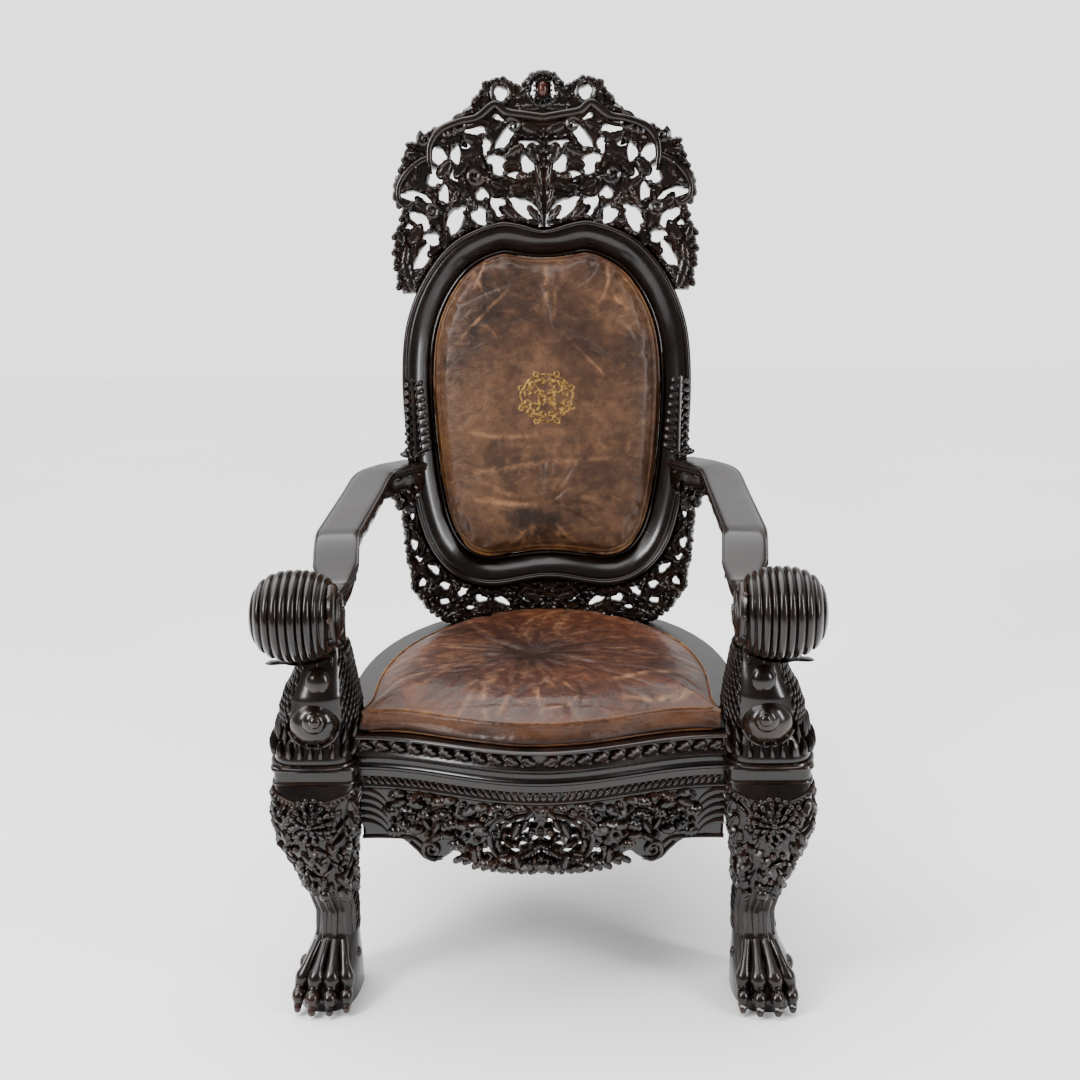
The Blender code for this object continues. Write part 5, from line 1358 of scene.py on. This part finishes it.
def leather(name, deep, middle, pale, edge, stain_places, band):
    """Vegetable-tanned hide, waxed and worn: mottled brown, pale rubbed ridges, orange edges and dark stains,
    with painted shade in the wrinkle hollows and towards the foot of a band.

    The attributes rim and rubbed tell how near the edge a point is, and how raised its fold is.
    """
    material, tree, shader = new_material(name, Coat_Weight=0.08, Coat_Roughness=0.30,
                                          Specular_IOR_Level=0.32)
    place = add_node(tree, "ShaderNodeTexCoord").outputs["Object"]
    cloud = noise(tree, place, 6.0, 6.0, 0.62, 0.5)
    fine = noise(tree, place, 48.0, 5.0, 0.68)
    tone = add_node(tree, "ShaderNodeMix", {"Factor": 0.34}, {"A": cloud, "B": fine}).outputs["Result"]
    colour = add_node(tree, "ShaderNodeValToRGB", links={"Fac": tone},
                      stops=((0.36, deep), (0.50, middle), (0.63, pale))).outputs["Color"]
    # Wrinkles about 6 mm apart, drawn out sideways. Their hollows are darkened as painted shade, and their
    # crests are paler in spots.
    drawn = add_node(tree, "ShaderNodeMapping", {"Scale": (1.0, 1.0, 1.6)},
                     {"Vector": place}).outputs["Vector"]
    wrinkle = noise(tree, drawn, 24.0, 6.0, 0.55, 1.6)
    colour = blend(tree, remap(tree, wrinkle, 0.34, 0.46, 0.40, 0.0), colour, deep)
    colour = blend(tree, product(tree, remap(tree, wrinkle, 0.57, 0.70, most=0.5), fine), colour, "#886344")
    rubbed = add_node(tree, "ShaderNodeAttribute", attribute_name="rubbed",
                      attribute_type="GEOMETRY").outputs["Fac"]
    ragged = remap(tree, fine, 0.36, 0.60)
    colour = blend(tree, product(tree, rubbed, ragged), colour, "#9a704f")
    if band:
        low, high = band
        height = add_node(tree, "ShaderNodeSeparateXYZ", links={"Vector": place}).outputs[2]
        front = remap(tree, height, high, low, most=0.80, interpolation_type="SMOOTHSTEP")
        colour = blend(tree, product(tree, front, ragged), colour, edge)
        # Painted shade: the band is darkened towards its foot, where it curves in under the cushion.
        foot = remap(tree, height, low, 2 * low - high, most=0.92, interpolation_type="SMOOTHSTEP")
        colour = blend(tree, foot, colour, deep)
    rim = add_node(tree, "ShaderNodeAttribute", attribute_name="rim",
                   attribute_type="GEOMETRY").outputs["Fac"]
    colour = blend(tree, remap(tree, product(tree, rim, cloud), 0.12, 0.60, most=0.62), colour, edge)
    # Stains: soft dark patches with a ragged outline.
    for spot, size, strength, code in stain_places:
        values = {"Location": [-s / r for s, r in zip(spot, size)], "Scale": [1 / r for r in size]}
        shifted = add_node(tree, "ShaderNodeMapping", values, {"Vector": place}).outputs["Vector"]
        reach = add_node(tree, "ShaderNodeVectorMath", links={0: shifted},
                         operation="LENGTH").outputs["Value"]
        for uneven in (cloud, fine):
            reach = add_node(tree, "ShaderNodeMath", links={0: reach, 1: uneven}, operation="ADD").outputs[0]
        mask = remap(tree, reach, 1.25, 2.05, strength, 0.0, interpolation_type="SMOOTHSTEP")
        colour = blend(tree, mask, colour, code)
    tree.links.new(colour, shader.inputs["Base Color"])
    tree.links.new(remap(tree, tone, 0.3, 0.7, 0.36, 0.54), shader.inputs["Roughness"])
    # The hide's own pebble is under 1 mm; it is drawn at about 2.4 mm so that it shows.
    pebble = add_node(tree, "ShaderNodeTexVoronoi", {"Scale": 420.0}, {"Vector": place}).outputs["Distance"]
    first = add_node(tree, "ShaderNodeBump", {"Strength": 0.25, "Distance": 0.0005}, {"Height": pebble})
    second = add_node(tree, "ShaderNodeBump", {"Strength": 0.7, "Distance": 0.0035},
                      {"Height": wrinkle, "Normal": first.outputs["Normal"]})
    swell = add_node(tree, "ShaderNodeBump", {"Strength": 0.5, "Distance": 0.0060},
                     {"Height": cloud, "Normal": second.outputs["Normal"]})
    tree.links.new(swell.outputs["Normal"], shader.inputs["Normal"])
    return material


def stuff(shape, name, voxel, cap, hold):
    """A pad: the shape is remeshed evenly and blown up as cloth, and no point moves further than cap."""
    carving = Carving()
    carving.add(shape)
    pad = carving.make(name, [])
    start_modelling()
    pad.select_set(True)
    bpy.context.view_layer.objects.active = pad
    pad.data.remesh_voxel_size = voxel
    bpy.ops.object.voxel_remesh()
    count = len(pad.data.vertices)
    rest = np.empty(count * 3)
    pad.data.vertices.foreach_get("co", rest)
    rest = rest.reshape(-1, 3)
    group = pad.vertex_groups.new(name="held")
    group.add([int(i) for i in np.nonzero(hold(rest))[0]], 1.0, "REPLACE")
    bpy.ops.object.modifier_add(type="CLOTH")
    cloth = pad.modifiers["Cloth"]
    cloth.settings.use_pressure = True
    cloth.settings.uniform_pressure_force = 4.0
    cloth.settings.effector_weights.gravity = 0.0
    cloth.settings.vertex_group_mass = "held"
    cloth.settings.quality = 5
    cloth.settings.tension_stiffness = 20.0
    cloth.settings.compression_stiffness = 10.0
    cloth.point_cache.frame_start = 1
    cloth.point_cache.frame_end = 20
    for number in range(1, 21):
        bpy.context.scene.frame_set(number)
    posed = pad.evaluated_get(bpy.context.evaluated_depsgraph_get())
    blown = np.empty(count * 3)
    posed.data.vertices.foreach_get("co", blown)
    pad.modifiers.remove(cloth)
    bpy.context.scene.frame_set(1)
    move = blown.reshape(-1, 3) - rest
    size = np.linalg.norm(move, axis=1)[:, None]
    move *= np.minimum(1.0, cap / np.maximum(size, 1e-9))
    pad.data.vertices.foreach_set("co", (rest + move).ravel())
    pad.vertex_groups.clear()
    return pad


def read_points(pad):
    table = np.empty(len(pad.data.vertices) * 3)
    pad.data.vertices.foreach_get("co", table)
    return table.reshape(-1, 3)


def write_points(pad, table):
    pad.data.vertices.foreach_set("co", np.ascontiguousarray(table).ravel())
    pad.data.update()


def subdivide_once(pad):
    start_modelling()
    pad.select_set(True)
    bpy.context.view_layer.objects.active = pad
    bpy.ops.object.modifier_add(type="SUBSURF")
    pad.modifiers[-1].levels = pad.modifiers[-1].render_levels = 1
    bpy.ops.object.modifier_apply(modifier=pad.modifiers[-1].name)
    pad.data.shade_smooth()


def set_wear(pad, rim, rubbed):
    """How near each point is to the worn edge, and how much its fold is rubbed, for the leather to read."""
    for name, values in (("rim", rim), ("rubbed", rubbed)):
        layer = pad.data.attributes.new(name, "FLOAT", "POINT")
        layer.data.foreach_set("value", np.clip(np.ascontiguousarray(values, float), 0.0, 1.0))


def creases_from(flat, centre, count, reach, depth, seed):
    """Radiating folds in a skin round a pinched spot."""
    offset = flat - centre
    away = np.hypot(offset[:, 0], offset[:, 1])
    turn = np.arctan2(offset[:, 1], offset[:, 0])
    picker = random.Random(seed)
    total = np.zeros(len(flat))
    for _ in range(count):
        heading, width = picker.uniform(-math.pi, math.pi), picker.uniform(0.05, 0.12)
        start, stop = picker.uniform(0.01, 0.05), picker.uniform(0.4, 1.0) * reach
        curl = picker.uniform(-3.0, 3.0)
        gap = (turn - heading - curl * away + math.pi) % (2 * math.pi) - math.pi
        line = np.exp(-(gap * away / (0.0030 + 0.016 * width)) ** 2)
        fade = np.clip((away - start) / 0.02, 0, 1) * np.clip((stop - away) / 0.05, 0, 1)
        total += line * fade
    return -depth * np.minimum(total, 1.3)


def long_folds(flat, folds, depth):
    """Single folds, each from one flat point to another with a width and a sag."""
    total = np.zeros(len(flat))
    for start, stop, width, sag in folds:
        start, stop = np.array(start), np.array(stop)
        run = stop - start
        share = np.clip((flat - start) @ run / run.dot(run), 0, 1)
        side = np.array((-run[1], run[0])) / np.linalg.norm(run)
        middle = start + share[:, None] * run + (sag * np.sin(math.pi * share))[:, None] * side
        gap = np.linalg.norm(flat - middle, axis=1)
        total += np.exp(-(gap / width) ** 2) * np.sin(math.pi * np.clip(share, 0.02, 0.98)) ** 0.5
    return -depth * total


def make_back_cushion():
    edge = np.array([hoop_offset(step, -HOOP_WIDTH - 0.0020) for step in range(0, HOOP_STEPS, 2)])
    middle = edge.mean(axis=0)
    rings = []
    for inset, lift in ((0.012, 0.0), (0.001, 0.003), (0.0, 0.010), (-0.0055, 0.0190), (-0.0050, 0.0250),
                        (0.006, 0.0305)):
        scale = 1 - inset / 0.21
        rings.append(on_back(middle + (edge - middle) * scale, BOARD_FRONT - GAP - lift))
    for scale, lift in ((0.86, 0.0322), (0.74, 0.0358), (0.60, 0.0390), (0.44, 0.0412), (0.26, 0.0426),
                        (0.08, 0.0430)):
        rings.append(on_back(middle + (edge - middle) * scale, BOARD_FRONT - GAP - lift))
    table = np.array(LEAN.inverted())

    def local(points):
        return points @ table[:3, :3].T + table[:3, 3]

    pad = stuff(loft(rings), "back_pad", 0.005, 0.010, lambda rest: local(rest)[:, 1] > BOARD_FRONT - 0.006)
    subdivide_once(pad)
    points = local(read_points(pad))
    flat = points[:, [0, 2]]
    reach, _ = edge_field(flat, [edge])
    front = points[:, 1] < BOARD_FRONT - 0.020
    near = np.clip(1 - reach / 0.030, 0, 1)
    sunk = creases_from(flat, np.array((-0.010, 0.205)), 16, 0.13, 0.0026, 5)
    sunk += long_folds(flat, (((-0.17, 0.335), (0.15, 0.330), 0.006, -0.012),
                              ((-0.15, 0.265), (0.16, 0.285), 0.007, 0.010),
                              ((-0.12, 0.225), (0.10, 0.205), 0.006, -0.006),
                              ((-0.17, 0.565), (-0.06, 0.610), 0.004, 0.004),
                              ((0.02, 0.535), (0.14, 0.455), 0.0035, 0.003),
                              ((0.04, 0.600), (0.10, 0.650), 0.005, -0.010),
                              ((0.12, 0.560), (0.17, 0.50), 0.005, 0.008),
                              ((-0.02, 0.620), (0.01, 0.520), 0.005, 0.006),
                              ((-0.18, 0.44), (-0.10, 0.40), 0.005, 0.004)), 0.0022)
    ripple = 0.0003 * np.sin(flat[:, 0] * 210 + 3 * np.sin(flat[:, 1] * 60)) * np.clip(1 - reach / 0.05, 0, 1)
    seam = -0.0020 * np.exp(-((reach - 0.0115) / 0.0022) ** 2)
    points[:, 1] -= np.where(front, sunk + ripple + seam, 0.0)
    points[:, 1] = np.clip(points[:, 1], BOARD_FRONT - 0.054, BOARD_FRONT - GAP)
    back = np.array(LEAN)
    write_points(pad, points @ back[:3, :3].T + back[:3, 3])
    ridges = -creases_from(flat, np.array((-0.010, 0.205)), 12, 0.16, 0.5, 31)
    ridges -= long_folds(flat, (((-0.175, 0.493), (-0.068, 0.598), 0.0026, 0.0),
                                ((0.030, 0.520), (0.120, 0.430), 0.0018, 0.0),
                                ((-0.133, 0.636), (-0.105, 0.584), 0.0026, 0.0),
                                ((0.0, 0.655), (-0.002, 0.560), 0.0040, 0.004),
                                ((0.095, 0.570), (0.110, 0.650), 0.0030, -0.012),
                                ((0.015, 0.540), (0.020, 0.600), 0.0030, 0.0),
                                ((0.120, 0.600), (0.150, 0.560), 0.0026, -0.005),
                                ((-0.16, 0.345), (-0.02, 0.335), 0.0045, -0.008),
                                ((-0.15, 0.262), (0.14, 0.290), 0.0045, 0.008),
                                ((-0.10, 0.690), (-0.13, 0.600), 0.0028, 0.004)), 0.62)
    set_wear(pad, near, np.where(front, ridges, 0.0))
    pad.data.materials.append(back_leather)
    settle(pad, ["back_cushion"])
    # Piping is sewn round the edge, with a second row of stitches inside it.
    tree = BVHTree.FromPolygons([Vector(p) for p in points], [tuple(f.vertices) for f in pad.data.polygons])
    welt = Carving()
    for inset, size in ((0.0020, 0.0026), (0.0085, 0.0010)):
        line = []
        for step in range(0, HOOP_STEPS):
            spot = hoop_offset(step, -HOOP_WIDTH - 0.0020 - inset)
            hit = tree.ray_cast(Vector((spot[0], -0.2, spot[1])), Vector((0, 1, 0)))[0]
            line.append((spot[0], (hit.y if hit else -0.02) - 0.3 * size, spot[1]))
        depths = np.array([p[1] for p in line])
        depths = (np.roll(depths, 1) + depths + np.roll(depths, -1)) / 3
        line = on_back([(p[0], p[2]) for p in line], depths)
        welt.add(bar(line, size, 8, FORWARD, closed=True))
    piece = welt.make("back_pad_welt", [welt_hide_painted_highlight])
    settle(piece, [])
    make_emblem(tree)


EMBLEM_SIZE = 1.16


def make_emblem(tree):
    """A plain scrolled lozenge, gold-tooled into the leather; it stands for no maker and no family."""
    centre = np.array((0.001, 0.402))
    lines = []
    for side in (1, -1):
        for up in (1, -1):
            curl = volute((0.0, 0.0), 0.0125, 1.15, 2.5, -1, end_share=0.25, steps=26)
            lines.append((centre + (curl + (0.017, 0.015)) * (side, up), 0.00230))
            for spot in ((0.0065, 0.0270), (0.0240, 0.0215), (0.0065, 0.0045)):
                curl = volute((0.0, 0.0), 0.0066, 1.2, 1.2, -1, end_share=0.3, steps=20)
                lines.append((centre + (curl + spot) * (side, up), 0.00220))
            curl = volute((0.0, 0.0), 0.0080, 1.1, 0.2, 1, end_share=0.3, steps=22)
            lines.append((centre + (curl + (0.031, 0.0075)) * (side, up), 0.00200))
        rim = [(side * (0.0405 * math.cos(t) + 0.0012 * math.sin(9 * t)), 0.0365 * math.sin(t)) for t in
               np.linspace(-math.pi / 2, math.pi / 2, 60)]
        lines.append((centre + np.array(rim), 0.0018))
    for count, reach in ((8, 0.0405), (4, 0.010)):
        for step in range(count):
            turn = 2 * math.pi * (step + 0.5) / count
            way = np.array((math.cos(turn), math.sin(turn)))
            across = np.array((-math.sin(turn), math.cos(turn)))
            base = centre + way * (reach - 0.004) * (1.0, 0.92)
            leaf = [base + way * 0.011 * t + across * 0.0038 * math.sin(math.pi * t)
                    for t in np.linspace(0, 1, 9)]
            leaf += [base + way * 0.011 * t - across * 0.0038 * math.sin(math.pi * t)
                     for t in np.linspace(1, 0, 9)]
            lines.append((np.array(leaf), 0.00150))
    gilding = Carving()
    for flat, size in lines:
        flat = centre + (np.array(flat) - centre) * EMBLEM_SIZE
        spots = []
        for across, up in flat:
            hit = tree.ray_cast(Vector((across, -0.2, up)), Vector((0, 1, 0)))[0]
            spots.append((hit.y if hit else -0.045))
        gilding.add(bar(on_back(flat, np.array(spots) - 0.0001), size, 6, FORWARD, 0.45))
    piece = gilding.make("gold_tooling", [gold])
    settle(piece, [])


def cushion_edge(inset, steps=60):
    """The seat cushion's outline: bowed in front, straight sides, rounded back."""
    half = CUSHION_HALF_WIDTH - inset
    right = [(x, bow(x * RAIL_HALF_LENGTH / half) + 0.012 + inset) for x in np.linspace(0, half, 30)]
    start, end = LEG_Y + 0.119, CUSHION_REAR - inset
    corner = right[-1][1]
    right += [(half, y) for y in np.linspace(corner, start, 12)[1:-1]]
    for step in range(steps // 2 + 1):
        turn = 0.5 * math.pi * step / (steps // 2)
        right.append((half * math.cos(turn) ** (2 / 2.1),
                      start + (end - start) * math.sin(turn) ** (2 / 2.1)))
    right = np.array(right)
    return np.vstack([right, (right[1:-1] * (-1.0, 1.0))[::-1]])


def make_seat_cushion():
    bottom = DECK_TOP + GAP
    rings = []
    for inset, height in ((0.010, 0.0), (0.003, 0.003), (0.000, 0.014), (-0.001, 0.026), (-0.001, 0.0345),
                          (0.006, 0.0385), (0.024, 0.0440), (0.055, 0.0500), (0.095, 0.0545), (0.145, 0.0570),
                          (0.200, 0.0580), (0.245, 0.0582)):
        edge = cushion_edge(inset)
        rings.append(np.column_stack([edge, np.full(len(edge), bottom + height)]))
    pad = stuff(loft(rings), "seat_pad", 0.006, 0.008, lambda rest: rest[:, 2] < bottom + 0.008)
    subdivide_once(pad)
    points = read_points(pad)
    flat = points[:, :2]
    edge = cushion_edge(0.0)
    reach, _ = edge_field(flat, [edge])
    top = points[:, 2] > bottom + 0.034
    centre = np.array((-0.018, LEG_Y + 0.165))
    sunk = creases_from(flat, centre, 40, 0.26, 0.0019, 9)
    dip = -0.0075 * np.exp(-(np.hypot(*(flat - centre).T) / 0.035) ** 2)
    front_y = flat[:, 1] - bow(flat[:, 0])
    sunk += long_folds(flat, (((-0.20, LEG_Y - 0.01), (0.20, LEG_Y - 0.02), 0.007, -0.03),
                              ((-0.24, LEG_Y + 0.06), (-0.10, LEG_Y + 0.10), 0.006, 0.01),
                              ((0.10, LEG_Y + 0.10), (0.24, LEG_Y + 0.04), 0.006, 0.01),
                              ((-0.05, LEG_Y - 0.06), (0.02, LEG_Y + 0.03), 0.005, 0.01),
                              ((0.06, LEG_Y - 0.06), (0.05, LEG_Y + 0.04), 0.005, -0.01)), 0.0022)
    points[:, 2] += np.where(top, sunk + dip, 0.0)
    side_wave = 0.0016 * np.sin(flat[:, 0] * 55) * np.sin((points[:, 2] - bottom) * 150)
    points[:, 1] += np.where((~top) & (front_y < 0.05), side_wave, 0.0)
    # The front corners are pinched into ears where the top is sewn to the band.
    for side in (1, -1):
        corner = np.array((side * CUSHION_HALF_WIDTH, bow(RAIL_HALF_LENGTH) + 0.012))
        pull = np.exp(-(np.hypot(*(points[:, :2] - corner).T) / 0.034) ** 2)
        pull *= 0.65 + 0.35 * np.exp(-((points[:, 2] - bottom - 0.035) / 0.006) ** 2)
        points[:, :2] += 0.0115 * pull[:, None] * (0.75 * side, -0.66)
    points[:, 0] *= 1.018
    points[:, 2] = np.maximum(points[:, 2], bottom)
    write_points(pad, points)
    ridges = -creases_from(flat, centre, 64, 0.30, 0.34, 3)
    ridges -= long_folds(flat, (((0.005, LEG_Y - 0.065), (0.02, LEG_Y + 0.06), 0.0016, 0.016),
                                ((0.005, LEG_Y - 0.060), (0.06, LEG_Y - 0.020), 0.0016, -0.012),
                                ((0.06, LEG_Y - 0.020), (0.030, LEG_Y + 0.050), 0.0016, 0.006),
                                ((0.10, LEG_Y + 0.03), (0.24, LEG_Y + 0.09), 0.0060, 0.01),
                                ((0.12, LEG_Y - 0.01), (0.25, LEG_Y + 0.02), 0.0070, -0.01),
                                ((-0.25, LEG_Y + 0.02), (-0.14, LEG_Y + 0.10), 0.0070, 0.01)), 0.75)
    rim = np.clip(1 - np.abs(reach - 0.004) / 0.034, 0, 1) * np.clip((points[:, 2] - bottom) / 0.02, 0.4, 1)
    set_wear(pad, rim, np.where(top, ridges, 0.0))
    pad.data.materials.append(seat_leather)
    settle(pad, ["seat_cushion"])
    tree = BVHTree.FromPolygons([Vector(p) for p in points], [tuple(f.vertices) for f in pad.data.polygons])
    welt = Carving()
    for height, size in ((0.0345, 0.0027), (0.0030, 0.0018)):
        inner, line = cushion_edge(0.06), []
        outer = cushion_edge(-0.03)
        for near, far in zip(inner, outer):
            start = Vector((*far, bottom + height))
            hit = tree.ray_cast(start, (Vector((*near, bottom + height)) - start).normalized())[0]
            line.append(hit if hit else start)
        line = np.array([tuple(p) for p in line])
        line = (np.roll(line, 1, axis=0) + line + np.roll(line, -1, axis=0)) / 3
        welt.add(bar(line, size, 8, (0, 0, 1), closed=True))
    piece = welt.make("seat_pad_welt", [welt_hide_painted_highlight])
    settle(piece, [])


back_leather = leather("tanned_hide_back", "#24160e", "#432b1c", "#62442e", "#54341a",
                       (((-0.034, BACK_Y + 0.02, BACK_Z + 0.182), (0.075, 0.6, 0.034), 0.85, "#170d09"),
                        ((0.07, BACK_Y + 0.03, BACK_Z + 0.27), (0.26, 0.6, 0.045), 0.35, "#2e1811"),
                        ((0.03, BACK_Y + 0.06, BACK_Z + 0.52), (0.09, 0.6, 0.13), 0.30, "#2e1912")), None)
seat_leather = leather("tanned_hide_seat", "#220f08", "#46220f", "#63381f", "#4b2a0e",
                       (((-0.018, LEG_Y + 0.165, DECK_TOP + 0.05), (0.115, 0.110, 0.5), 0.95, "#0a0504"),
                        ((0.02, LEG_Y + 0.17, DECK_TOP + 0.05), (0.36, 0.26, 0.5), 0.66, "#260f09")),
                       (DECK_TOP + 0.024, DECK_TOP + 0.038))
# The piping's hide is paler and golden: partly its own colour, partly a painted highlight along the welt.
welt_hide_painted_highlight = leather("tanned_hide_welt_painted_highlight", "#2e190c", "#553216", "#80551f", "#80551f", (), None)
gold, gold_tree, gold_shader = new_material("gold_leaf_tooled_rubbed", Roughness=0.42, Metallic=0.55)
gold_place = add_node(gold_tree, "ShaderNodeTexCoord").outputs["Object"]
gold_colour = add_node(gold_tree, "ShaderNodeValToRGB",
                       links={"Fac": noise(gold_tree, gold_place, 190.0, 3.0)},
                       stops=((0.40, "#4f3319"), (0.50, "#80602c"), (0.66, "#a27f42")))
gold_tree.links.new(gold_colour.outputs["Color"], gold_shader.inputs["Base Color"])

make_back_cushion()
make_seat_cushion()


# Floor, soft studio light and the camera

def make_floor():
    start_modelling()
    bpy.ops.mesh.primitive_plane_add(size=14.0, location=(0.0, 0.0, 0.0))
    floor = bpy.context.object
    floor.name = "studio_floor"
    paper, tree, shader = new_material("matt_white_paper", Roughness=0.85, Specular_IOR_Level=0.2)
    place = add_node(tree, "ShaderNodeTexCoord").outputs["Object"]
    tone = add_node(tree, "ShaderNodeValToRGB", links={"Fac": noise(tree, place, 0.8, 2.0)},
                    stops=((0.3, "#f4f4f4"), (0.7, "#fafafa")))
    tree.links.new(tone.outputs["Color"], shader.inputs["Base Color"])
    floor.data.materials.append(paper)


def add_light(name, location, target, size, power, size_y=None):
    lamp = bpy.data.lights.new(name, "AREA")
    lamp.shape = "RECTANGLE"
    lamp.size, lamp.size_y, lamp.energy = size, size_y or size, power
    holder = bpy.data.objects.new(name, lamp)
    holder.location = location
    holder.rotation_euler = (Vector(target) - Vector(location)).to_track_quat("-Z", "Y").to_euler()
    bpy.context.scene.collection.objects.link(holder)


def make_world():
    """A white backdrop. What the wood mirrors is bright behind the chair and dim in front of it."""
    world = bpy.data.worlds.new("white_studio")
    world.use_nodes = True
    tree = world.node_tree
    backdrop = tree.nodes["Background"]
    backdrop.inputs["Color"].default_value = srgb("#ffffff")
    way = add_node(tree, "ShaderNodeTexCoord").outputs["Generated"]
    depth = add_node(tree, "ShaderNodeSeparateXYZ", links={"Vector": way}).outputs[1]
    mirrored = remap(tree, depth, -0.1, 0.5, 0.24, 1.1)
    seen = add_node(tree, "ShaderNodeLightPath").outputs["Is Camera Ray"]
    strength = add_node(tree, "ShaderNodeMix", {"B": 2.25}, {"Factor": seen, "A": mirrored}).outputs["Result"]
    tree.links.new(strength, backdrop.inputs["Strength"])
    bpy.context.scene.world = world


def make_camera():
    lens = bpy.data.cameras.new("camera")
    lens.lens, lens.sensor_width = 50.0, 36.0
    camera = bpy.data.objects.new("camera", lens)
    camera.matrix_world = (Matrix.Translation((0.0785, LEG_Y - 0.055 - 2.1197, 1.2781))
                           @ Matrix.Rotation(math.radians(1.985), 4, "Z")
                           @ Matrix.Rotation(math.radians(90 - 14.067), 4, "X")
                           @ Matrix.Rotation(math.radians(-1.009), 4, "Z"))
    bpy.context.scene.collection.objects.link(camera)
    bpy.context.scene.camera = camera


make_floor()
make_world()
make_camera()
add_light("key_softbox", (-2.3, -1.8, 2.4), (0, 0, 0.8), 0.7, 110.0, 1.6)
add_light("fill_strip", (2.4, -1.5, 1.7), (0, 0, 0.8), 0.35, 60.0, 1.8)
overhead = bpy.data.lights.new("overhead_silk", "SUN")
overhead.energy, overhead.angle = 5.6, math.radians(75)
silk = bpy.data.objects.new("overhead_silk", overhead)
silk.rotation_euler = (math.radians(-8), math.radians(-14), 0.0)
bpy.context.scene.collection.objects.link(silk)
